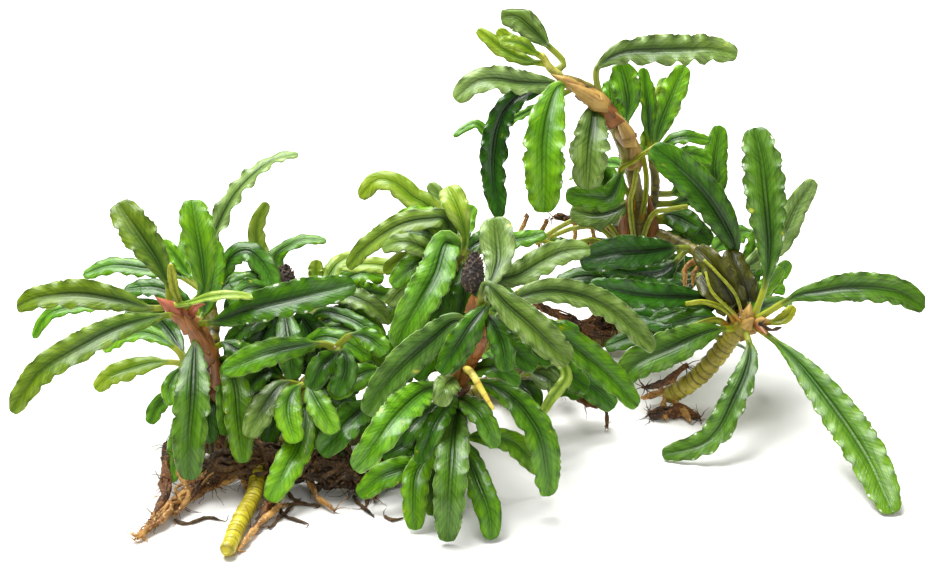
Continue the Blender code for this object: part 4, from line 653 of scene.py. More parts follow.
def stemCurve(entry, curves):
    # a stem's axis with its radius as a fourth column, in metres
    carrier, at, way = entry[:3]
    if carrier and at < 1:
        root = readAlong(curves[carrier], at)
        way = [(*sheetPlace(root), way[0][3])] + way
    return smoothCurve([(*place(*point[:3]), point[3] * mm) for point in way])


curves = {}
for table in ({"rhizome": stems["rhizome"]}, roots, stems, shoots, flowers):
    for name, entry in table.items():
        curves[name] = stemCurve(entry, curves)
print("stems laid out:", len(curves))


def srgb(colour):
    # a hex colour as linear red, green, blue and alpha
    shares = [int(colour[i:i + 2], 16) / 255 for i in (1, 3, 5)]
    return (*[v / 12.92 if v <= 0.04045 else ((v + 0.055) / 1.055) ** 2.4 for v in shares], 1.0)


def addNode(tree, kind, values=None, links=None, **settings):
    node = tree.nodes.new(kind)
    for key, value in settings.items():
        setattr(node, key, value)
    for socket, value in (values or {}).items():
        node.inputs[socket].default_value = value
    for socket, source in (links or {}).items():
        tree.links.new(source, node.inputs[socket])
    return node


def newMaterial(name):
    material = bpy.data.materials.new(name)
    material.use_nodes = True
    return material, material.node_tree, material.node_tree.nodes["Principled BSDF"]


def mathNode(tree, operation, a, b=None, clamp=False):
    # a number worked out from two sockets or numbers
    node = tree.nodes.new("ShaderNodeMath")
    node.operation, node.use_clamp = operation, clamp
    for socket, value in enumerate((a, b)):
        if value is None:
            continue
        if isinstance(value, (int, float)):
            node.inputs[socket].default_value = value
        else:
            tree.links.new(value, node.inputs[socket])
    return node.outputs[0]


def ramp(tree, value, low, high, toLow=0.0, toHigh=1.0):
    # eases from toLow to toHigh while the value goes from low to high
    node = addNode(tree, "ShaderNodeMapRange", {1: low, 2: high, 3: toLow, 4: toHigh}, {0: value},
                   interpolation_type="SMOOTHSTEP")
    return node.outputs[0]


def mixColour(tree, share, a, b, blend="MIX"):
    node = addNode(tree, "ShaderNodeMix", data_type="RGBA", blend_type=blend)
    for socket, value in ((0, share), (6, a), (7, b)):
        if isinstance(value, (float, int, tuple)):
            node.inputs[socket].default_value = value
        else:
            tree.links.new(value, node.inputs[socket])
    return node.outputs[2]


def noiseAt(tree, vector, size, detail=3.0, distortion=0.0):
    # a noise whose blotches are about this many millimetres across, on a vector in metres
    node = addNode(tree, "ShaderNodeTexNoise", {"Scale": 1 / (size * mm), "Detail": detail, "Distortion": distortion},
                   {"Vector": vector})
    return node.outputs[0]


def objectPlace(tree):
    return addNode(tree, "ShaderNodeTexCoord").outputs["Object"]



# Leaf finishes: the blade's colour near its stalk and near its tip, the pale colour on each half that is partly its own
# and partly painted satin sheen, the sunken midrib, the thin rim, the stalk, and how glossy the blade is.
leafFinishes = {
    "dark": dict(base="#2d5d03", tip="#3f7804", paleSheen="#5b8a24", rib="#0d1f02", rim="#8ba450", stalk="#8c9a2c", gloss=0.26),
    "blueDark": dict(base="#3b6713", tip="#538219", paleSheen="#769b45", rib="#152a05", rim="#a3b678", stalk="#a3ac38", gloss=0.30),
    "grey": dict(base="#55742a", tip="#729238", paleSheen="#95ad65", rib="#1d3408", rim="#b6c48c", stalk="#8e9a3c", gloss=0.34),
    # deep: the darkest green, used for leaves far inside the clump, is partly their own colour and partly painted shade
    # where the clump shades them
    "deep": dict(base="#1a4708", tip="#2b6208", paleSheen="#467625", rib="#071402", rim="#7a944c", stalk="#8c9a2c", gloss=0.20),
    "pale": dict(base="#456a0b", tip="#67830f", paleSheen="#88a23b", rib="#26400a", rim="#b8c482", stalk="#949e34", gloss=0.38),
    "mid": dict(base="#407900", tip="#5a9602", paleSheen="#7cb02b", rib="#183404", rim="#aec270", stalk="#949e34", gloss=0.32),
    "vivid": dict(base="#3c6c00", tip="#598600", paleSheen="#6f9914", rib="#224402", rim="#b6cc58", stalk="#a0aa3c", gloss=0.30),
    "bright": dict(base="#4e8900", tip="#6faa01", paleSheen="#8ab82d", rib="#2b5404", rim="#c2d67e", stalk="#a0aa3c", gloss=0.34),
    "lime": dict(base="#6f9113", tip="#8fa72b", paleSheen="#afc25a", rib="#4c760c", rim="#d6e0a0", stalk="#b0ba48", gloss=0.36),
    "young": dict(base="#8f9a20", tip="#aeb232", paleSheen="#bec050", rib="#606c10", rim="#d4cc80", stalk="#b4883a", gloss=0.36),

    "oldLeaf": dict(base="#33340a", tip="#505210", paleSheen="#686a20", rib="#1c1e04", rim="#8c8c38", stalk="#6c6a1c", gloss=0.34),
}


def leafBladeMaterial(name, finish):
    # Living leaf blade: satin green, dark beside the sunken midrib and paler outwards, the paler part
    # partly its own colour and partly painted satin sheen, with fine veins, painted light on the crest of
    # each lobe of the edge, painted shade in the notches between the lobes and painted white glints of
    # water drops on some.
    material, tree, shader = newMaterial(name)
    spot = addNode(tree, "ShaderNodeSeparateXYZ", links={
        0: addNode(tree, "ShaderNodeAttribute", attribute_name="leafSpot").outputs["Vector"]}).outputs
    ruler = addNode(tree, "ShaderNodeSeparateXYZ", links={
        0: addNode(tree, "ShaderNodeAttribute", attribute_name="leafRuler").outputs["Vector"]}).outputs
    edge = addNode(tree, "ShaderNodeSeparateXYZ", links={
        0: addNode(tree, "ShaderNodeAttribute", attribute_name="leafEdge").outputs["Vector"]}).outputs
    place3d = objectPlace(tree)
    side, upTheBlade = mathNode(tree, "ABSOLUTE", spot[0]), spot[1]
    outMm, alongMm = mathNode(tree, "ABSOLUTE", ruler[0]), ruler[1]
    mottle, patches = noiseAt(tree, place3d, 2.4, 4), noiseAt(tree, place3d, 13.0, 2)

    def veins(across, along, slant):
        # noise drawn out along the veins, which lean outwards and forwards by slant
        lean = mathNode(tree, "SUBTRACT", alongMm, mathNode(tree, "MULTIPLY", outMm, slant))
        spots = addNode(tree, "ShaderNodeCombineXYZ", links={
            0: mathNode(tree, "DIVIDE", ruler[0], across), 1: mathNode(tree, "DIVIDE", lean, along), 2: ruler[2]}).outputs[0]
        return addNode(tree, "ShaderNodeTexNoise", {"Scale": 1.0, "Detail": 3.0}, {"Vector": spots}).outputs[0]

    streaks, sideVeins = veins(0.4, 8.0, 0.0), veins(4.0, 0.9, 1.2)
    crest = ramp(tree, edge[0], 0.25, 0.95)
    ageing = mathNode(tree, "ADD", ramp(tree, upTheBlade, 0.0, 0.95), ramp(tree, patches, 0.35, 0.7, -0.35, 0.35), clamp=True)
    colour = mixColour(tree, ageing, srgb(finish["base"]), srgb(finish["tip"]))
    # the paler part of each half: partly the blade's own paling towards its edge and partly painted satin sheen, made
    # brighter on the lobe crests as painted light
    paleAndSheenShare = mathNode(tree, "MULTIPLY", ramp(tree, side, 0.14, 0.7), ramp(tree, mottle, 0.3, 0.7, 0.2, 0.95))
    paleAndSheenShare = mathNode(tree, "MULTIPLY", paleAndSheenShare, mathNode(tree, "ADD", mathNode(tree, "MULTIPLY", crest, 0.5), 0.35))
    colour = mixColour(tree, paleAndSheenShare, colour, srgb(finish["paleSheen"]))
    colour = mixColour(tree, ramp(tree, sideVeins, 0.4, 0.68, 0.0, 0.4), colour, srgb(finish["rib"]))
    colour = mixColour(tree, ramp(tree, streaks, 0.46, 0.7, 0.0, 0.42), colour, srgb(finish["rib"]))
    colour = mixColour(tree, ramp(tree, streaks, 0.4, 0.2, 0.0, 0.3), colour, srgb(finish["paleSheen"]))
    fade = ramp(tree, upTheBlade, 0.3, 1.0, 1.0, 0.25)
    centre = mathNode(tree, "MULTIPLY", ramp(tree, side, 0.5, 0.05, 0.0, 0.5), fade)
    colour = mixColour(tree, centre, colour, srgb(finish["rib"]))
    groove = mathNode(tree, "MULTIPLY", ramp(tree, side, 0.035, 0.07), ramp(tree, side, 0.15, 0.1))
    sideLine = mathNode(tree, "MULTIPLY", ramp(tree, side, 0.25, 0.28), ramp(tree, side, 0.33, 0.3, 0.0, 0.3))
    lines = mathNode(tree, "MULTIPLY", mathNode(tree, "ADD", groove, sideLine), fade)
    colour = mixColour(tree, mathNode(tree, "MULTIPLY", lines, 0.85), colour, srgb(finish["rib"]))
    frill = ramp(tree, side, 0.55, 0.95)
    # painted shade: the notches between the lobes of the edge are darkened towards the midrib colour, where the
    # puckered edge would shade them
    notch = mathNode(tree, "MULTIPLY", frill, mathNode(tree, "SUBTRACT", 1.0, crest))
    colour = mixColour(tree, mathNode(tree, "MULTIPLY", notch, 0.6), colour, srgb(finish["rib"]))
    colour = mixColour(tree, ramp(tree, side, 0.955, 1.0, 0.0, 0.7), colour, srgb(finish["rim"]))
    blemish = mathNode(tree, "MULTIPLY", ramp(tree, noiseAt(tree, place3d, 3.2, 2), 0.7, 0.76), ramp(tree, side, 0.3, 0.8))
    colour = mixColour(tree, mathNode(tree, "MULTIPLY", blemish, 0.8), colour, srgb("#b9b83a"))
    colour = mixColour(tree, ramp(tree, upTheBlade, 0.1, -0.12), colour, srgb(finish["stalk"]))
    shade = addNode(tree, "ShaderNodeHueSaturation", links={"Color": colour})
    tree.links.new(ramp(tree, spot[2], -1, 1, 0.84, 1.14), shade.inputs["Value"])
    tree.links.new(ramp(tree, spot[2], 1, -1, 0.98, 1.08), shade.inputs["Saturation"])
    # painted highlight: white dots on the lobe crests of some leaves stand for the glints on drops of water
    paintedGlint = mathNode(tree, "MULTIPLY", ramp(tree, side, 0.84, 0.9), ramp(tree, side, 0.99, 0.93))
    paintedGlint = mathNode(tree, "MULTIPLY", paintedGlint, ramp(tree, edge[0], 0.965, 0.99))
    glintSpots = mathNode(tree, "MULTIPLY", edge[1], ramp(tree, noiseAt(tree, place3d, 4.0, 0), 0.44, 0.52))
    paintedGlint = mathNode(tree, "MULTIPLY", mathNode(tree, "MULTIPLY", paintedGlint, glintSpots), 0.75)
    tree.links.new(mixColour(tree, paintedGlint, shade.outputs[0], srgb("#eef4e2")), shader.inputs["Base Color"])
    tree.links.new(ramp(tree, streaks, 0.3, 0.8, finish["gloss"], finish["gloss"] + 0.16), shader.inputs["Roughness"])
    shader.inputs["IOR"].default_value = 1.33
    shader.inputs["Coat Weight"].default_value = 0.16
    shader.inputs["Coat Roughness"].default_value = 0.14
    height = mathNode(tree, "ADD", mathNode(tree, "MULTIPLY", streaks, 0.5), mathNode(tree, "MULTIPLY", mottle, 0.8))
    height = mathNode(tree, "ADD", height, mathNode(tree, "MULTIPLY", sideVeins, 0.6))
    height = mathNode(tree, "SUBTRACT", height, mathNode(tree, "MULTIPLY", lines, 0.7))
    bump = addNode(tree, "ShaderNodeBump", {"Strength": 0.7, "Distance": 0.28 * mm}, {"Height": height})
    tree.links.new(bump.outputs[0], shader.inputs["Normal"])
    return material


def leafUndersideMaterial(name, finish):
    # Underside of a leaf: duller and paler than the top, with a raised pale midrib.
    material, tree, shader = newMaterial(name)
    spot = addNode(tree, "ShaderNodeSeparateXYZ", links={
        0: addNode(tree, "ShaderNodeAttribute", attribute_name="leafSpot").outputs["Vector"]}).outputs
    side = mathNode(tree, "ABSOLUTE", spot[0])
    mottle = noiseAt(tree, objectPlace(tree), 4.0, 4)
    colour = mixColour(tree, 0.35, srgb(finish["base"]), srgb("#7d8a4c"))
    colour = mixColour(tree, ramp(tree, mottle, 0.35, 0.7, 0.0, 0.5), colour, srgb(finish["rib"]))
    colour = mixColour(tree, ramp(tree, side, 0.12, 0.04, 0.0, 0.5), colour, srgb(finish["rim"]))
    colour = mixColour(tree, ramp(tree, side, 0.9, 1.0, 0.0, 0.5), colour, srgb(finish["rim"]))
    colour = mixColour(tree, ramp(tree, spot[1], 0.1, -0.12), colour, srgb(finish["stalk"]))
    tree.links.new(colour, shader.inputs["Base Color"])
    shader.inputs["Roughness"].default_value = 0.5
    bump = addNode(tree, "ShaderNodeBump", {"Strength": 0.4, "Distance": 0.2 * mm}, {"Height": mottle})
    tree.links.new(bump.outputs[0], shader.inputs["Normal"])
    return material


def sheathMaterial(name, dark, light):
    # Papery sheath round a stem: dry, thin and streaked lengthwise, darker at its foot.
    material, tree, shader = newMaterial(name)
    spot = addNode(tree, "ShaderNodeSeparateXYZ", links={
        0: addNode(tree, "ShaderNodeAttribute", attribute_name="leafSpot").outputs["Vector"]}).outputs
    ruler = addNode(tree, "ShaderNodeAttribute", attribute_name="leafRuler").outputs["Vector"]
    stretched = addNode(tree, "ShaderNodeVectorMath", {1: (1 / 0.4, 1 / 6.0, 1.0)}, {0: ruler}, operation="MULTIPLY").outputs[0]
    streaks = addNode(tree, "ShaderNodeTexNoise", {"Scale": 1.0, "Detail": 3.0}, {"Vector": stretched}).outputs[0]
    blotches = noiseAt(tree, objectPlace(tree), 3.0, 3)
    age = mathNode(tree, "ADD", ramp(tree, spot[1], -0.4, 0.7), ramp(tree, blotches, 0.35, 0.7, -0.35, 0.3), clamp=True)
    colour = mixColour(tree, age, srgb(dark), srgb(light))
    colour = mixColour(tree, ramp(tree, streaks, 0.45, 0.7, 0.0, 0.6), colour, srgb(dark))
    tree.links.new(colour, shader.inputs["Base Color"])
    shader.inputs["Roughness"].default_value = 0.42
    bump = addNode(tree, "ShaderNodeBump", {"Strength": 0.6, "Distance": 0.25 * mm}, {"Height": streaks})
    tree.links.new(bump.outputs[0], shader.inputs["Normal"])
    return material


leafMaterials = {
    "sheath": (sheathMaterial("brownSheath", "#4e280c", "#99602a"),) * 2,
    "rosySheath": (sheathMaterial("rosySheath", "#7c3c18", "#b8674a"),) * 2,
    "tanSheath": (sheathMaterial("tanSheath", "#7c5220", "#bd9a4e"),) * 2,
}
for name, finish in leafFinishes.items():
    leafMaterials[name] = (leafBladeMaterial("leafBlade_" + name, finish), leafUndersideMaterial("leafUnderside_" + name, finish))
print("leaf finishes mixed:", len(leafMaterials))

# How every blade is built, from its stalk to its tip.
leafForm = {
    "stations": 100,  # steps along a large blade
    "smallStations": 40,
    "ribs": 21,  # points across a large blade
    "smallRibs": 13,
    "fold": radians(14),  # how far each half is lifted from flat
    "smallFold": radians(6),
    "bulge": 0.07,  # how far each half swells, as a share of the half's width
    "thickness": 0.5,  # at the midrib
    "rimThickness": 0.24,
    "grooveDepth": 0.26,
    "grooveWidth": 0.42,
    "keel": 0.22,  # how far the midrib stands out underneath
    "lobePitch": 5.4,  # from one lobe of the edge to the next
    "smallLobePitch": 4.2,
    "crinklePitch": 2.3,  # the finer crinkle between the lobes
    "crinkle": 0.05,  # how far it reaches out, as a share of the half's width
    "notch": 0.34,  # how deep the notches between lobes are, as a share of the half's width
    "stalkWidth": 1.7,
    "stalkThickness": 1.3,
    "sheathThickness": 0.34,
}


def bladeWidth(b, belly):
    # a strap leaf's width from stalk to tip, as a share of the widest
    b = np.clip(b, 0, 1)
    return np.abs(np.sin(pi * b ** belly)) ** (0.58 - 0.3 * b)


def leafMidrib(entry, carrier):
    root = readAlong(carrier, entry["at"])
    across, down, rootNear = sheetPlace(root)
    flat = [(across, down)] + entry["path"]
    run = runLengths(np.array([(a, d, 0) for a, d in flat]))
    middle, tip = entry["near"]
    if entry["rest"] is not None:
        tip = nearAtHeight(*flat[-1], entry["rest"])
    t = run / run[-1]
    nears = rootNear * (1 - t) * (1 - 2 * t) + middle * 4 * t * (1 - t) + tip * t * (2 * t - 1)
    return smoothCurve([place(a, d, n) for (a, d), n in zip(flat, nears)])


def leafShell(entry, carrier, seed, fine=True):
    # one leaf as points, faces, a material index per face and where each point is on the leaf
    form = leafForm
    rng = random.Random(seed)
    phases = [rng.uniform(0, 2 * pi) for _ in range(6)]
    shade = rng.uniform(-1, 1)
    curve = leafMidrib(entry, carrier)
    total = runLengths(curve)[-1]
    stalk = min(max(entry["stalk"] * mm / total, 0.04), 0.5)
    count = form["stations"] if fine else form["smallStations"]
    t = np.linspace(0, 1, count)
    b = np.concatenate([np.linspace(-1, 0, 7)[:-1], 0.45 * t + 0.55 * (0.5 - 0.5 * np.cos(pi * t))])
    shares = np.where(b < 0, (1 + b) * stalk, stalk + (1 - stalk) * b)
    centre = readAlong(curve, shares)
    forward = unit(readAlong(curve, shares + 0.012) - readAlong(curve, shares - 0.012))
    facing = unit(toEye + sheetRight * entry["face"][0] + sheetUp * entry["face"][1])
    side = -unit(np.cross(facing, forward))
    upper = -np.cross(side, forward)
    upper *= np.sign(upper @ facing)[:, None]

    full = bladeWidth(b, entry["belly"])
    stalkHalf = form["stalkWidth"] / 2 * (1 + 0.5 * np.clip(-b - 0.5, 0, 1))
    half = np.maximum(entry["width"] / 2 * full, np.where(b < 0.3, stalkHalf, 0.3))
    opened = np.clip((half - stalkHalf) / np.maximum(entry["width"] / 2 - stalkHalf, 0.1), 0, 1) ** 0.7
    if entry["kind"] == "stalk":
        half, opened = entry["width"] / 2 * (1 - 0.2 * np.clip(b, 0, 1)), np.zeros(len(b))
    elif entry["kind"] == "sheath":
        full = np.sin(pi * np.clip(b, 0, 1) ** 0.6) ** 0.8
        half, opened = np.maximum(entry["width"] / 2 * np.where(b < 0.24, 1, full), 0.15), np.ones(len(b))
    length = total * (1 - stalk) / mm
    lobes = max(3, length / form["lobePitch" if fine else "smallLobePitch"])
    a = np.linspace(0, 1, (form["ribs"] if fine else form["smallRibs"]) // 2 + 1)
    s = 0.5 * a + 0.5 * (0.5 - 0.5 * np.cos(pi * a))
    s = np.concatenate([-s[:0:-1], s])[None, :]
    out = np.abs(s)

    def wave(rate, phase):
        return np.cos(2 * pi * lobes * rate * b + phase)[:, None]

    def lobeTurn(first, second):
        # where each point is in its lobe; no two lobes are as long
        drift = 1.1 * np.sin(2 * pi * 1.3 * b + first) + 0.6 * np.sin(2 * pi * 2.9 * b + second)
        return (2 * pi * lobes * b + first + drift)[:, None]

    turnAt = np.where(s < 0, lobeTurn(phases[0], phases[1]), lobeTurn(phases[2], phases[3]))
    lobe = np.abs(np.sin(turnAt / 2)) ** 0.7
    uneven = 0.65 + 0.35 * wave(0.31, phases[4])
    deep = form["notch"] * (0.35 + 0.65 * min(entry["ruffle"], 1.6)) * uneven
    crinkleTurn = 2 * pi * length / form["crinklePitch"] * b[:, None] + 2.2 * np.sin(0.7 * turnAt + phases[3])
    crinkle = np.cos(crinkleTurn) * (0.6 + 0.4 * wave(0.23, phases[5]))
    outline = (lobe - 0.8) * deep * out ** 5 + form["crinkle"] * crinkle * out ** 7
    lateral = s * half[:, None] * (1 - 0.05 * opened[:, None]) * (1 + outline * opened[:, None])
    lift = half[:, None] * opened[:, None] * (sin(form["fold"] if fine else form["smallFold"]) * out + form["bulge"] * np.sin(pi * out))
    pucker = 0.9 * np.cos(turnAt) + 0.35 * wave(0.47, phases[1]) * np.sign(s)
    lift += entry["ruffle"] * (0.95 * pucker * out ** 3.2 + 0.16 * crinkle * out ** 6) * (full * opened)[:, None]
    slow = 0.05 * half * opened * np.sin(2 * pi * 1.4 * b + phases[4])
    lift += slow[:, None] * s
    rib = np.exp(-(lateral / form["grooveWidth"]) ** 2) * (opened * np.clip(1.15 - b, 0, 1))[:, None]
    roundness = np.sqrt(np.clip(1 - out ** 2, 0, 1))
    flatness = np.sqrt(np.clip(1 - out ** 10, 0, 1)) * (1 - (1 - form["rimThickness"] / form["thickness"]) * out)
    stalkEnd = opened[:, None] ** 0.5
    thick = form["stalkThickness"] / 2 * roundness * (1 - stalkEnd) + form["thickness"] / 2 * flatness * stalkEnd
    if entry["kind"] == "sheath":
        # wraps back over the stem, and is thin to its edge
        lift, rib = -0.85 * half[:, None] * out ** 2, np.zeros(lateral.shape)
        thick = form["sheathThickness"] / 2 * (np.ones(lateral.shape) - 0.6 * out ** 4)
    thick = thick * np.clip((1.03 - b) / 0.06, 0.3, 1)[:, None]
    top = lift + thick - form["grooveDepth"] * rib
    under = lift - thick - form["keel"] * rib

    def skin(height):
        return (centre[:, None] + side[:, None] * (lateral * mm)[..., None] + upper[:, None] * (height * mm)[..., None])

    ring = np.concatenate([skin(top), skin(under)[:, -3:1:-2]], axis=1)
    spot = np.zeros(ring.shape)
    ringSide = np.concatenate([s[0], s[0, -3:1:-2]])
    spot[..., 0], spot[..., 1], spot[..., 2] = ringSide, b[:, None], shade
    marks = np.concatenate([lobe, lobe[:, -3:1:-2]], axis=1)
    edge = np.zeros(ring.shape)
    edge[..., 0], edge[..., 1] = marks, entry["dropGlints"]
    ruler = np.zeros(ring.shape)
    ruler[..., 0], ruler[..., 1], ruler[..., 2] = ringSide * entry["width"] / 2, (shares * total / mm)[:, None], phases[5] * 9
    rows, sides = ring.shape[:2]
    grid = np.arange(rows * sides).reshape(rows, sides)
    turned = np.roll(grid, -1, axis=1)
    faces = np.stack([grid[:-1], turned[:-1], turned[1:], grid[1:]], axis=-1).reshape(-1, 4)
    tops = np.tile(np.arange(sides) < s.shape[1] - 1, rows - 1)
    caps = [tuple(grid[0, ::-1]), tuple(grid[-1])]
    return dict(points=ring.reshape(-1, 3), faces=faces, tops=tops, caps=caps, finish=entry["finish"],
                spot=spot.reshape(-1, 3), ruler=ruler.reshape(-1, 3), edge=edge.reshape(-1, 3))


def joinShells(name, shells):
    # leaves as one mesh object, with where each point is on its leaf kept for the materials
    names = list(dict.fromkeys(shell["finish"] for shell in shells))
    materials = [material for finish in names for material in leafMaterials[finish]]
    points, faces, slots, start = [], [], [], 0
    for shell in shells:
        first = 2 * names.index(shell["finish"])
        points.append(shell["points"])
        faces += (shell["faces"] + start).tolist() + [[i + start for i in cap] for cap in shell["caps"]]
        slots += [first + (0 if top else 1) for top in shell["tops"]] + [first, first]
        start += len(shell["points"])
    points = np.clip(np.vstack(points), lowCorner, highCorner)
    mesh = bpy.data.meshes.new(name)
    mesh.from_pydata(points.tolist(), [], faces)
    for material in materials:
        mesh.materials.append(material)
    mesh.polygons.foreach_set("material_index", slots)
    for key in ("spot", "ruler", "edge"):
        layer = mesh.attributes.new("leaf" + key.capitalize(), "FLOAT_VECTOR", "POINT")
        layer.data.foreach_set("vector", np.vstack([shell[key] for shell in shells]).ravel())
    mesh.shade_smooth()
    mesh.update()
    thing = bpy.data.objects.new(name, mesh)
    bpy.context.scene.collection.objects.link(thing)
    return thing


lowCorner, highCorner = (np.array(corner) for corner in cadBox)
lowestRest = float(lowCorner[2])  # the height at which the clump touches the table

for stem, leaves in largeLeaves.items():
    for name, entry in leaves.items():
        blade = joinShells(name + "_blade", [leafShell(entry, curves[stem], name)])
        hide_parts(name)
        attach(blade, "root")
print("large leaves grown")

for shoot, leaves in smallLeaves.items():
    leaves = leaves + fillLeaves.get(shoot, [])
    shells = [leafShell(entry, curves[shoot], f"{shoot}{i}", fine=False) for i, entry in enumerate(leaves)]
    sprays = joinShells(shoot + "_leaves", shells)
    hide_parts(shoot)
    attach(sprays, "root")

for stem, pieces in crownPieces.items():
    pieces = pieces + (fillLeaves[stem] if stem in stems else [])
    shells = [leafShell(entry, curves[stem], f"{stem}{i}crown", fine=False) for i, entry in enumerate(pieces)]
    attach(joinShells(stem + "_crown", shells), "root")
print("small leaves and sheaths grown")


# Ringed stems: Geometry Nodes sweep each stem's own curve, and swell it between old leaf scars.
ringedStem = {
    "step": 0.45,  # from one section to the next
    "sides": 18,
    "lumps": 0.7,  # how far the skin strays from round
    "lumpSize": 3.0,
}


def newTree(name, inputs):
    tree = bpy.data.node_groups.new(name, "GeometryNodeTree")
    tree.interface.new_socket("Geometry", in_out="INPUT", socket_type="NodeSocketGeometry")
    for label, (kind, value) in inputs.items():
        socket = tree.interface.new_socket(label, in_out="INPUT", socket_type="NodeSocket" + kind)
        if value is not None:
            socket.default_value = value
    tree.interface.new_socket("Geometry", in_out="OUTPUT", socket_type="NodeSocketGeometry")
    given = addNode(tree, "NodeGroupInput").outputs
    return tree, given


def endTree(tree, given, geometry):
    # smooth shading, real geometry for every instance, one material
    smooth = addNode(tree, "GeometryNodeSetShadeSmooth", links={"Geometry": geometry}).outputs[0]
    real = addNode(tree, "GeometryNodeRealizeInstances", links={"Geometry": smooth}).outputs[0]
    coated = addNode(tree, "GeometryNodeSetMaterial", links={"Geometry": real, "Material": given["Material"]}).outputs[0]
    addNode(tree, "NodeGroupOutput", links={0: coated})
    return tree


def vectorNode(tree, operation, a, b=None, scale=None):
    node = addNode(tree, "ShaderNodeVectorMath", operation=operation)
    for socket, value in ((0, a), (1, b), ("Scale", scale)):
        if value is None:
            continue
        if isinstance(value, (int, float, tuple)):
            node.inputs[socket].default_value = value
        else:
            tree.links.new(value, node.inputs[socket])
    return node.outputs[1] if operation in ("LENGTH", "DOT_PRODUCT") else node.outputs[0]


def noiseVector(tree, vector, scale):
    # a wandering offset, about -1 to 1 each way
    noise = addNode(tree, "ShaderNodeTexNoise", {"Scale": scale, "Detail": 2.0}, {"Vector": vector})
    centred = vectorNode(tree, "SUBTRACT", noise.outputs["Color"], (0.5, 0.5, 0.5))
    return vectorNode(tree, "SCALE", centred, scale=3.2)


def aboveTable(tree, geometry, clearance):
    # lifts any point that would sink into the table
    here = addNode(tree, "ShaderNodeSeparateXYZ", links={0: addNode(tree, "GeometryNodeInputPosition").outputs[0]}).outputs
    height = mathNode(tree, "MAXIMUM", here[2], clearance)
    spot = addNode(tree, "ShaderNodeCombineXYZ", links={0: here[0], 1: here[1], 2: height}).outputs[0]
    return addNode(tree, "GeometryNodeSetPosition", links={"Geometry": geometry, "Position": spot}).outputs[0]


def makeStemTree():
    tree, given = newTree("ringedStem", {
        "Step": ("Float", 0.001), "Sides": ("Int", 16), "Ring Pitch": ("Float", 0.003), "Ring Depth": ("Float", 0.1), "Ring Sharpness": ("Float", 5.0),
        "Lumps": ("Float", 0.0002), "Lump Size": ("Float", 0.003), "Seed": ("Float", 0.0), "Material": ("Material", None)})
    fine = addNode(tree, "GeometryNodeResampleCurve", links={"Curve": given["Geometry"], "Length": given["Step"]}, mode="LENGTH").outputs[0]
    run = addNode(tree, "GeometryNodeSplineParameter").outputs["Length"]
    straying = addNode(tree, "ShaderNodeTexNoise", {"Scale": 120.0}, {"W": mathNode(tree, "ADD", run, given["Seed"])}, noise_dimensions="1D").outputs[0]
    rings = mathNode(tree, "ADD", mathNode(tree, "DIVIDE", run, given["Ring Pitch"]), mathNode(tree, "MULTIPLY", straying, 3.2))
    saw = mathNode(tree, "ABSOLUTE", mathNode(tree, "SUBTRACT", mathNode(tree, "MULTIPLY", mathNode(tree, "FRACT", rings), 2.0), 1.0))
    scar = mathNode(tree, "POWER", saw, given["Ring Sharpness"])
    radius = addNode(tree, "GeometryNodeInputRadius").outputs[0]
    girth = mathNode(tree, "MULTIPLY", radius, mathNode(tree, "SUBTRACT", 1.0, mathNode(tree, "MULTIPLY", scar, given["Ring Depth"])))
    marked = addNode(tree, "GeometryNodeStoreNamedAttribute", {"Name": "scar"}, {"Geometry": fine, "Value": scar}, data_type="FLOAT", domain="POINT").outputs[0]
    circle = addNode(tree, "GeometryNodeCurvePrimitiveCircle", {"Radius": 1.0}, {"Resolution": given["Sides"]}).outputs[0]
    swept = addNode(tree, "GeometryNodeCurveToMesh", {"Fill Caps": True}, {"Curve": marked, "Profile Curve": circle, "Scale": girth}).outputs[0]
    here = vectorNode(tree, "ADD", addNode(tree, "GeometryNodeInputPosition").outputs[0], given["Seed"])
    bulges = addNode(tree, "ShaderNodeTexNoise", {"Detail": 2.0}, {"Vector": here, "Scale": mathNode(tree, "DIVIDE", 1.0, given["Lump Size"])}).outputs[0]
    push = vectorNode(tree, "SCALE", addNode(tree, "GeometryNodeInputNormal").outputs[0], scale=mathNode(tree, "MULTIPLY", mathNode(tree, "SUBTRACT", bulges, 0.5), given["Lumps"]))
    lumpy = addNode(tree, "GeometryNodeSetPosition", links={"Geometry": swept, "Offset": push}).outputs[0]
    return endTree(tree, given, aboveTable(tree, lumpy, lowestRest))


# Roots: each bundle is many thin strands that wander inside the bundle's own outline, with finer
# rootlets springing from them.
rootBundle = {
    "step": 1.3,
    "sides": 6,
    "waviness": 9.0,  # how long a strand runs before it wanders another way
}


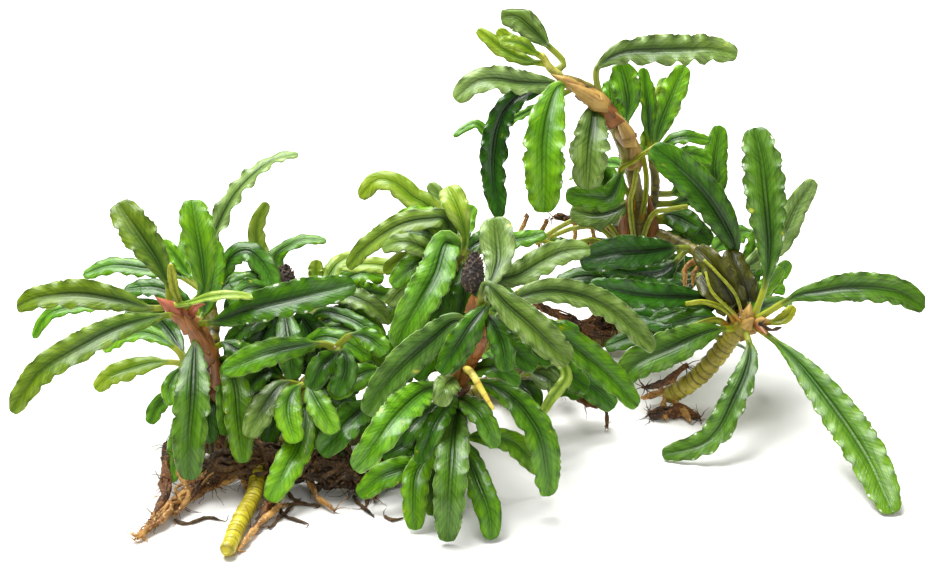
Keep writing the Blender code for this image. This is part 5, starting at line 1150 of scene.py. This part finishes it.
def makeRootTree():
    tree, given = newTree("rootBundle", {
        "Step": ("Float", 0.001), "Sides": ("Int", 6), "Strands": ("Int", 12), "Strand Radius": ("Float", 0.0005), "Spread": ("Float", 1.0),
        "Waviness": ("Float", 0.009), "Rootlet Spacing": ("Float", 0.006), "Rootlet Length": ("Float", 0.008),
        "Rootlet Radius": ("Float", 0.0002), "Seed": ("Int", 1), "Material": ("Material", None)})
    fine = addNode(tree, "GeometryNodeResampleCurve", links={"Curve": given["Geometry"], "Length": given["Step"]}, mode="LENGTH").outputs[0]
    copies = addNode(tree, "GeometryNodeDuplicateElements", links={"Geometry": fine, "Amount": given["Strands"]}, domain="SPLINE").outputs
    index = copies["Duplicate Index"]
    run = addNode(tree, "GeometryNodeSplineParameter").outputs["Length"]
    route = addNode(tree, "ShaderNodeCombineXYZ", links={
        0: mathNode(tree, "DIVIDE", run, given["Waviness"]), 1: mathNode(tree, "MULTIPLY", index, 7.31), 2: mathNode(tree, "MULTIPLY", given["Seed"], 3.17)}).outputs[0]
    radius = addNode(tree, "GeometryNodeInputRadius").outputs[0]
    offset = vectorNode(tree, "SCALE", noiseVector(tree, route, 1.0), scale=mathNode(tree, "MULTIPLY", radius, given["Spread"]))
    strands = addNode(tree, "GeometryNodeSetPosition", links={"Geometry": copies["Geometry"], "Offset": offset}).outputs[0]
    strands = aboveTable(tree, strands, mathNode(tree, "MULTIPLY", given["Strand Radius"], 0.9))
    own = addNode(tree, "FunctionNodeRandomValue", {2: 0.45, 3: 1.25}, {"ID": index, "Seed": given["Seed"]}, data_type="FLOAT").outputs[1]
    knots = addNode(tree, "ShaderNodeTexNoise", {"Scale": 2.5}, {"Vector": vectorNode(tree, "SCALE", route, scale=3.0)}).outputs[0]
    girth = mathNode(tree, "MULTIPLY", mathNode(tree, "MULTIPLY", own, given["Strand Radius"]), ramp(tree, knots, 0.3, 0.7, 0.6, 1.6))
    share = addNode(tree, "GeometryNodeSplineParameter").outputs["Factor"]
    girth = mathNode(tree, "MULTIPLY", girth, ramp(tree, share, 1.0, 0.75, 0.35, 1.0))
    circle = addNode(tree, "GeometryNodeCurvePrimitiveCircle", {"Radius": 1.0}, {"Resolution": given["Sides"]}).outputs[0]
    thick = addNode(tree, "GeometryNodeCurveToMesh", {"Fill Caps": True}, {"Curve": strands, "Profile Curve": circle, "Scale": girth}).outputs[0]
    buds = addNode(tree, "GeometryNodeCurveToPoints", links={"Curve": strands, "Length": given["Rootlet Spacing"]}, mode="LENGTH").outputs["Points"]
    hook = addNode(tree, "GeometryNodeCurveQuadraticBezier", {"Resolution": 9, "Start": (0, 0, 0), "Middle": (0.45, 0.1, 0.5), "End": (0.75, -0.1, 1.0)}).outputs[0]
    turn = addNode(tree, "FunctionNodeRandomValue", {0: (-pi, -pi, -pi), 1: (pi, pi, pi)}, {"Seed": given["Seed"]}, data_type="FLOAT_VECTOR").outputs[0]
    reach = addNode(tree, "FunctionNodeRandomValue", {2: 0.35, 3: 1.0}, {"Seed": given["Seed"]}, data_type="FLOAT").outputs[1]
    hairs = addNode(tree, "GeometryNodeInstanceOnPoints", links={
        "Points": buds, "Instance": hook, "Rotation": turn, "Scale": mathNode(tree, "MULTIPLY", reach, given["Rootlet Length"])}).outputs[0]
    hairs = addNode(tree, "GeometryNodeRealizeInstances", links={"Geometry": hairs}).outputs[0]
    crinkle = vectorNode(tree, "SCALE", noiseVector(tree, addNode(tree, "GeometryNodeInputPosition").outputs[0], 300.0), scale=0.0007)
    hairs = addNode(tree, "GeometryNodeSetPosition", links={"Geometry": hairs, "Offset": crinkle}).outputs[0]
    hairs = aboveTable(tree, hairs, given["Rootlet Radius"])
    point = addNode(tree, "GeometryNodeSplineParameter").outputs["Factor"]
    hairGirth = mathNode(tree, "MULTIPLY", given["Rootlet Radius"], ramp(tree, point, 1.0, 0.2, 0.4, 1.0))
    wire = addNode(tree, "GeometryNodeCurvePrimitiveCircle", {"Radius": 1.0, "Resolution": 4}).outputs[0]
    thin = addNode(tree, "GeometryNodeCurveToMesh", {"Fill Caps": True}, {"Curve": hairs, "Profile Curve": wire, "Scale": hairGirth}).outputs[0]
    both = addNode(tree, "GeometryNodeJoinGeometry")
    tree.links.new(thick, both.inputs[0])
    tree.links.new(thin, both.inputs[0])
    return endTree(tree, given, aboveTable(tree, both.outputs[0], lowestRest))



# Spent flower knobs: small overlapping scales set in a spiral on a swollen stem.
scalyKnob = {"scales": 90, "scaleLength": 1.5, "scaleWidth": 1.05, "scaleThickness": 0.5}


def makeKnobTree():
    tree, given = newTree("scalyKnob", {
        "Scales": ("Int", 80), "Scale Length": ("Float", 0.0015), "Scale Width": ("Float", 0.001), "Scale Thickness": ("Float", 0.0005),
        "Seed": ("Int", 1), "Material": ("Material", None)})
    fine = addNode(tree, "GeometryNodeResampleCurve", {"Length": 0.0004}, {"Curve": given["Geometry"]}, mode="LENGTH").outputs[0]
    circle = addNode(tree, "GeometryNodeCurvePrimitiveCircle", {"Radius": 0.92, "Resolution": 20}).outputs[0]
    core = addNode(tree, "GeometryNodeCurveToMesh", {"Fill Caps": True}, {
        "Curve": fine, "Profile Curve": circle, "Scale": addNode(tree, "GeometryNodeInputRadius").outputs[0]}).outputs[0]
    line = addNode(tree, "GeometryNodeMeshLine", links={"Count": given["Scales"]}).outputs[0]
    index = addNode(tree, "GeometryNodeInputIndex").outputs[0]
    share = mathNode(tree, "DIVIDE", mathNode(tree, "ADD", index, 0.5), given["Scales"])
    spot = addNode(tree, "GeometryNodeSampleCurve", links={"Curves": fine, "Value": addNode(tree, "GeometryNodeInputRadius").outputs[0], "Factor": share}, mode="FACTOR", use_all_curves=True).outputs
    angle = mathNode(tree, "MULTIPLY", index, radians(137.508))
    across = vectorNode(tree, "CROSS_PRODUCT", spot["Tangent"], spot["Normal"])
    outward = vectorNode(tree, "ADD", vectorNode(tree, "SCALE", spot["Normal"], scale=mathNode(tree, "COSINE", angle)),
                         vectorNode(tree, "SCALE", across, scale=mathNode(tree, "SINE", angle)))
    seat = vectorNode(tree, "ADD", spot["Position"], vectorNode(tree, "SCALE", outward, scale=mathNode(tree, "MULTIPLY", spot["Value"], 0.86)))
    seats = addNode(tree, "GeometryNodeSetPosition", links={"Geometry": line, "Position": seat}).outputs[0]
    upright = addNode(tree, "FunctionNodeAlignRotationToVector", {"Vector": (0, 0, 1)}, {"Vector": vectorNode(tree, "ADD", spot["Tangent"], vectorNode(tree, "SCALE", outward, scale=0.45))}, axis="Z").outputs[0]
    facing = addNode(tree, "FunctionNodeAlignRotationToVector", links={"Rotation": upright, "Vector": outward}, axis="X", pivot_axis="Z").outputs[0]
    ball = addNode(tree, "GeometryNodeMeshIcoSphere", {"Radius": 0.5, "Subdivisions": 2}).outputs[0]
    own = addNode(tree, "FunctionNodeRandomValue", {2: 0.75, 3: 1.2}, {"Seed": given["Seed"]}, data_type="FLOAT").outputs[1]
    size = addNode(tree, "ShaderNodeCombineXYZ", links={0: given["Scale Thickness"], 1: given["Scale Width"], 2: given["Scale Length"]}).outputs[0]
    scales = addNode(tree, "GeometryNodeInstanceOnPoints", links={"Points": seats, "Instance": ball, "Rotation": facing, "Scale": vectorNode(tree, "SCALE", size, scale=own)}).outputs[0]
    both = addNode(tree, "GeometryNodeJoinGeometry")
    tree.links.new(core, both.inputs[0])
    tree.links.new(scales, both.inputs[0])
    return endTree(tree, given, both.outputs[0])


def roundedEnds(curve):
    # rounds both ends of a stem over its own radius
    run = runLengths(curve)
    fine = readAlong(curve, np.linspace(0, 1, max(12, int(run[-1] / (0.35 * mm)))))
    run = runLengths(fine)
    for ends in (run, run[-1] - run):
        fine[:, 3] *= np.sqrt(np.clip(1 - (1 - np.clip(ends / (0.9 * fine[:, 3] + 1e-9), 0, 1)) ** 2, 0.0, 1))
    return fine


def growAlong(name, tree, curve, inputs, material):
    # runs a tree on curves with a radius and keeps the result as a plain mesh at the origin
    spline = bpy.data.curves.new(name, "CURVE")
    spline.dimensions = "3D"
    for way in curve if isinstance(curve, list) else [curve]:
        line = spline.splines.new("POLY")
        line.points.add(len(way) - 1)
        line.points.foreach_set("co", np.hstack([way[:, :3], np.ones((len(way), 1))]).ravel())
        line.points.foreach_set("radius", way[:, 3])
    guide = bpy.data.objects.new(name + "_guide", spline)
    bpy.context.scene.collection.objects.link(guide)
    modifier = guide.modifiers.new("grow", "NODES")
    modifier.node_group = tree
    sockets = {item.name: item.identifier for item in tree.interface.items_tree if item.in_out == "INPUT"}
    for label, value in {**inputs, "Material": material}.items():
        modifier[sockets[label]] = value
    graph = bpy.context.evaluated_depsgraph_get()
    mesh = bpy.data.meshes.new_from_object(guide.evaluated_get(graph), depsgraph=graph)
    bpy.data.objects.remove(guide)
    mesh.name = name
    thing = bpy.data.objects.new(name, mesh)
    bpy.context.scene.collection.objects.link(thing)
    return thing


def stemMaterial(name, dark, middle, light, gloss=0.38):
    # Living rhizome skin: waxy, olive to yellow, darker in the old leaf scars that ring it.
    material, tree, shader = newMaterial(name)
    spot = objectPlace(tree)
    blotches, grain = noiseAt(tree, spot, 4.5, 4), noiseAt(tree, spot, 0.8, 3)
    colour = mixColour(tree, ramp(tree, blotches, 0.35, 0.68), srgb(middle), srgb(light))
    colour = mixColour(tree, ramp(tree, grain, 0.5, 0.75, 0.0, 0.5), colour, srgb(dark))
    scar = addNode(tree, "ShaderNodeAttribute", attribute_name="scar").outputs["Fac"]
    colour = mixColour(tree, ramp(tree, scar, 0.25, 0.9, 0.0, 0.85), colour, srgb(dark))
    tree.links.new(colour, shader.inputs["Base Color"])
    tree.links.new(ramp(tree, grain, 0.3, 0.7, gloss, gloss + 0.2), shader.inputs["Roughness"])
    shader.inputs["Coat Weight"].default_value = 0.15
    shader.inputs["Coat Roughness"].default_value = 0.25
    bump = addNode(tree, "ShaderNodeBump", {"Strength": 0.5, "Distance": 0.3 * mm}, {"Height": grain})
    tree.links.new(bump.outputs[0], shader.inputs["Normal"])
    return material


def rootMaterial(name, dark, middle, light):
    # Dry root: matt, fibrous, from near black where it is old to tan where it is young.
    material, tree, shader = newMaterial(name)
    spot = objectPlace(tree)
    blotches, grain = noiseAt(tree, spot, 6.0, 4), noiseAt(tree, spot, 0.7, 3)
    colour = mixColour(tree, ramp(tree, blotches, 0.36, 0.66), srgb(dark), srgb(middle))
    colour = mixColour(tree, ramp(tree, grain, 0.5, 0.75, 0.0, 0.8), colour, srgb(light))
    tree.links.new(colour, shader.inputs["Base Color"])
    shader.inputs["Roughness"].default_value = 0.72
    bump = addNode(tree, "ShaderNodeBump", {"Strength": 0.8, "Distance": 0.3 * mm}, {"Height": grain})
    tree.links.new(bump.outputs[0], shader.inputs["Normal"])
    return material


stemSkins = {
    "rhizome": stemMaterial("rhizomeSkin", "#2a2206", "#5e5812", "#8f8624"),
    "yellow_rhizome": stemMaterial("youngRhizomeSkin", "#5a4808", "#a89a14", "#cfc42e"),
    "red_stem": stemMaterial("reddishStemSkin", "#3e1c0a", "#8f4e1e", "#b67a3c"),
    "olive_rhizome": stemMaterial("oliveRhizomeSkin", "#453c08", "#8c8018", "#b8ac3c"),
    "olive": stemMaterial("oliveStemSkin", "#2c2608", "#5e5416", "#8f8430"),
    "yellow": stemMaterial("youngStemSkin", "#7c7a1a", "#a5a32f", "#c3bc58"),
    "spike": stemMaterial("flowerStalkSkin", "#b3882a", "#d6c23e", "#e8dd74"),
}
rootSkins = {
    "root": rootMaterial("brownRoot", "#2e1806", "#6f4218", "#a87838"),
    "dark_root": rootMaterial("oldRoot", "#1c1206", "#4f3612", "#8a6428"),
    "tan_root": rootMaterial("youngRoot", "#7c501c", "#c39148", "#e8ca8e"),
}
knobSkin = rootMaterial("driedFlowerScales", "#120c08", "#38261a", "#8a7358")

stemTree, rootTree, knobTree = makeStemTree(), makeRootTree(), makeKnobTree()

# from one old leaf scar to the next, how deep the scar is, how narrow it is
stemRings = {
    "rhizome": (2.6, 0.2, 3.0),
    "rhizome_yellow": (1.7, 0.12, 2.4),
    "stem_left": (3.2, 0.14, 5.0),
    "stem_center": (3.4, 0.14, 5.0),
    "shoot_right": (2.1, 0.22, 2.4),
    "shoot_tall": (3.6, 0.14, 5.0),
}

for name, (carrier, at, way, tone) in {**stems, **shoots}.items():
    pitch, depth, sharpness = stemRings.get(name, (3.0, 0.12, 5.0))
    skin = growAlong(name + "_stem", stemTree, roundedEnds(curves[name]), {
        "Step": ringedStem["step"] * mm, "Sides": ringedStem["sides"], "Ring Pitch": pitch * mm, "Ring Depth": depth, "Ring Sharpness": sharpness,
        "Lumps": ringedStem["lumps"] * mm, "Lump Size": ringedStem["lumpSize"] * mm, "Seed": len(name) * 1.3}, stemSkins[tone])
    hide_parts(name)
    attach(skin, "root")
print("stems grown")

# strands, their radius, how far they spread, spacing and length of their rootlets
rootLooks = {
    "root_mat": (64, 0.62, 1.15, 14.0, 8.0),
    "root_left": (15, 0.5, 1.15, 12.0, 3.0),
    "root_back": (34, 0.6, 1.2, 14.0, 7.0),
    "root_hook": (3, 0.7, 0.6, 9.0, 4.0),
    "root_right": (16, 0.5, 1.3, 9.0, 4.0),
}


def growRoots(name, curve, look, skin):
    strands, radius, spread, spacing, length = look
    fibres = growAlong(name + "_fibres", rootTree, curve, {
        "Step": rootBundle["step"] * mm, "Sides": rootBundle["sides"], "Strands": strands, "Strand Radius": radius * mm, "Spread": spread,
        "Waviness": rootBundle["waviness"] * mm, "Rootlet Spacing": spacing * mm, "Rootlet Length": length * mm,
        "Rootlet Radius": 0.14 * mm, "Seed": len(name)}, skin)
    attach(fibres, "root")
    return fibres


for name, look in rootLooks.items():
    fibres = growRoots(name, curves[name], look, rootSkins[roots[name][3]])
    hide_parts(name)

# Loose roots around the bundles: their skin, look and ways, each point with the radius it wanders in.
looseRoots = {
    "tan_roots": ("tan_root", (7, 0.5, 0.9, 12.0, 4.0), [
        [(*lying(43, 113.6, 8), 0.9), (*lying(45.4, 119, 5.4), 1.2), (*lying(47.2, 124, 3), 1.0), (*lying(43.6, 128.6, 1.8), 0.9)],
        [(*lying(60, 118.4, 4.4), 0.8), (*lying(56.6, 120.4, 2.8), 0.9), (*lying(51, 122.6, 1.8), 0.9), (*lying(44.6, 127, 1.4), 0.7)],
        [(*lying(60.6, 114.6, 7), 0.8), (*lying(60.8, 118.6, 4), 1.1), (*lying(61.8, 122.8, 1.6), 0.9)],
        [(*lying(75.6, 114.6, 8), 0.7), (*lying(76.8, 119, 4.6), 0.9), (*lying(79.4, 124, 2.2), 0.9), (*lying(83.2, 127.6, 1), 0.6)],
        [(*lying(70, 126.4, 1.8), 0.6), (*lying(66.4, 129.6, 1.6), 1.0), (*lying(62.2, 134.2, 1.4), 1.1), (*lying(59.2, 137.4, 1.2), 0.8)],
        [(*lying(41, 125, 3), 1.0), (*lying(38.2, 130, 2), 1.1), (*lying(35.6, 134.2, 1.2), 0.8)],
        [(*lying(166, 97.6, 5), 0.9), (*lying(163, 98.8, 3.4), 1.2), (*lying(160.6, 99.6, 2.4), 0.8)],
        [(*lying(168.6, 100, 3.4), 0.9), (*lying(170.8, 103, 1.8), 1.0), (*lying(172.6, 105.4, 1), 0.6)],
        [(*lying(166.4, 99.6, 3.4), 0.8), (*lying(165.4, 102.6, 1.8), 1.0), (*lying(166.6, 104.8, 1), 0.6)],
    ]),
    "brown_roots": ("root", (9, 0.5, 1.1, 10.0, 5.0), [
        [(*lying(42, 111, 9), 1.2), (*lying(41.4, 118, 6.4), 1.6), (*lying(41.2, 124, 4), 1.5), (*lying(38.4, 130, 2), 1.0)],
        [(*lying(47, 110, 9), 1.4), (*lying(50, 116, 6.4), 1.8), (*lying(49.4, 121.6, 3.6), 1.6), (*lying(45, 126.6, 1.8), 1.0)],
        [(*lying(56, 106, 11), 1.4), (*lying(55, 112, 9), 2.0), (*lying(55.6, 118, 5.6), 1.8), (*lying(54, 121.4, 2.6), 1.0)],
        [(*lying(65.6, 110, 9), 1.4), (*lying(68.6, 117, 6.4), 2.0), (*lying(69.6, 122.4, 3.4), 1.6), (*lying(67, 127, 1.6), 1.4),
         (*lying(63, 132.6, 1.4), 1.2)],
        [(*lying(84, 110, 9), 1.4), (*lying(88, 116, 7), 2.0), (*lying(93, 121, 3.6), 1.4), (*lying(94, 124.4, 1.6), 0.8)],
        [(*lying(97, 108, 8), 1.2), (*lying(100.6, 114, 5), 1.8), (*lying(103.6, 120, 2.6), 1.2)],
        [(139, 54, -42, 0.9), (146, 55.6, -43, 1.6), (153, 57.4, -43, 1.8), (160.6, 58, -41, 1.2)],
        [(134, 76, -26, 1.0), (140, 79, -32, 1.8), (147, 82, -36, 1.8), (153, 84.4, -38, 1.2)],
        [(171.6, 91.4, -21, 0.8), (168.8, 94, -19.6, 1.3), (165.4, 96, -21, 1.2), (161, 97, -22, 0.8)],
        [(126, 88, -22, 1.2), (131, 91, -24, 1.8), (137, 92, -26, 1.6), (143, 92, -28, 1.0)],
    ]),
    "hanging_roots": ("tan_root", (3, 0.45, 1.0, 6.0, 3.0), [
        [(136.8, 55, -41, 0.7), (135.2, 58.6, -41, 0.6), (134.8, 62, -41, 0.3)],
        [(132, 53.6, -39, 0.6), (130.4, 57.4, -39, 0.6), (129, 60.6, -38, 0.3)],
        [(143.4, 54.6, -42, 0.7), (144, 58.6, -42, 0.7), (142.8, 62.4, -42, 0.4)],
        [(147.6, 55.4, -42, 0.7), (148.6, 59, -42, 0.7), (147.4, 62.6, -42, 0.4)],
        [(176, 63.6, -20, 0.8), (171.8, 66.6, -19, 0.9), (171.2, 71.6, -18, 0.7)],
        [(178, 64, -19, 0.7), (174, 67.6, -18, 0.8), (173.2, 71, -18, 0.5)],
    ]),
    "dark_rootlets": ("dark_root", (1, 0.42, 1.4, 7.0, 4.0), [
        [(*lying(43.4, 129.6, 1), 0.5), (*lying(47.6, 130.6, 0.6), 0.7), (*lying(52, 129.4, 0.5), 0.6), (*lying(56.2, 130.4, 0.5), 0.3)],
        [(*lying(64, 130.4, 1.2), 0.6), (*lying(69, 127.2, 0.9), 0.9), (*lying(74, 126, 0.7), 0.7), (*lying(79.8, 126.4, 0.5), 0.4)],
        [(*lying(67, 131.6, 0.9), 0.6), (*lying(71, 128.6, 0.7), 0.8), (*lying(75.2, 124.6, 0.6), 0.4)],
        [(*lying(71.2, 121.8, 2), 0.6), (*lying(75.4, 125.2, 0.9), 0.8), (*lying(80.2, 126.6, 0.5), 0.4)],
        [(*lying(88.2, 123.8, 1.2), 0.5), (*lying(91, 126.4, 0.6), 0.7), (*lying(93.6, 129.2, 0.4), 0.3)],
        [(*lying(96, 128.8, 0.6), 0.5), (*lying(98.4, 129.8, 0.5), 0.6), (*lying(101, 129.4, 0.5), 0.3)],
        [(*lying(94, 121, 1.6), 0.5), (*lying(92.4, 124, 0.8), 0.6), (*lying(91.6, 127, 0.5), 0.3)],
        [(*lying(69, 124, 1.8), 0.5), (*lying(72, 129, 0.7), 0.8), (*lying(77, 131, 0.5), 0.3)],
        [(189.6, 80.6, -7, 0.3), (192.8, 82, -7, 0.5), (195.6, 81.6, -8, 0.3)],
    ]),
}
for name, (skin, look, ways) in looseRoots.items():
    growRoots(name, [smoothCurve([(*place(*point[:3]), point[3] * mm) for point in way]) for way in ways], look, rootSkins[skin])
print("roots grown")

for name in ("knob_middle", "knob_center"):
    knob = growAlong(name + "_scales", knobTree, roundedEnds(curves[name]), {
        "Scales": scalyKnob["scales"], "Scale Length": scalyKnob["scaleLength"] * mm, "Scale Width": scalyKnob["scaleWidth"] * mm,
        "Scale Thickness": scalyKnob["scaleThickness"] * mm, "Seed": 4}, knobSkin)
    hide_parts(name)
    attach(knob, "root")
spike = growAlong("spike_stalk", stemTree, roundedEnds(curves["spike"]), {
    "Step": 0.4 * mm, "Sides": 14, "Ring Pitch": 3 * mm, "Ring Depth": 0.0, "Lumps": 0.12 * mm, "Lump Size": 1.2 * mm, "Seed": 2.0}, stemSkins["spike"])
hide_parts("spike")
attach(spike, "root")
print("flowers made")

# A plain pale table and the soft light of a photographer's tent.
studio = {"tableSize": 6.0, "sky": 0.3, "topSize": 0.7, "topPower": 24.0, "frontPower": 2.5}
tableMesh = bpy.data.meshes.new("table")
reach = studio["tableSize"] / 2
tableMesh.from_pydata([(-reach, -reach, 0), (reach, -reach, 0), (reach, reach, 0), (-reach, reach, 0)], [], [(0, 1, 2, 3)])
table = bpy.data.objects.new("table", tableMesh)
bpy.context.scene.collection.objects.link(table)
tableMaterial, tableTree, tableShader = newMaterial("paintedTable")  # smooth matt white paint
tableShader.inputs["Base Color"].default_value = srgb("#fbfaf7")
tableShader.inputs["Roughness"].default_value = 0.7
tableMesh.materials.append(tableMaterial)

world = bpy.data.worlds.new("tent")
bpy.context.scene.world = world
world.use_nodes = True
world.node_tree.nodes["Background"].inputs["Color"].default_value = srgb("#fdfdfb")
world.node_tree.nodes["Background"].inputs["Strength"].default_value = studio["sky"]


def softLight(name, size, power, spot):
    # a square light that looks at the middle of the clump
    data = bpy.data.lights.new(name, "AREA")
    data.size, data.energy = size, power
    light = bpy.data.objects.new(name, data)
    light.location = spot
    light.rotation_euler = (Vector(sheetCentre) - Vector(spot)).to_track_quat("-Z", "Y").to_euler()
    bpy.context.scene.collection.objects.link(light)


softLight("topLight", studio["topSize"], studio["topPower"], (-0.25, 0.3, 0.9))
softLight("frontLight", 0.6, studio["frontPower"], (0.3, -0.8, 0.6))
bpy.context.scene.view_settings.view_transform = "Standard"
print("table and lights set")
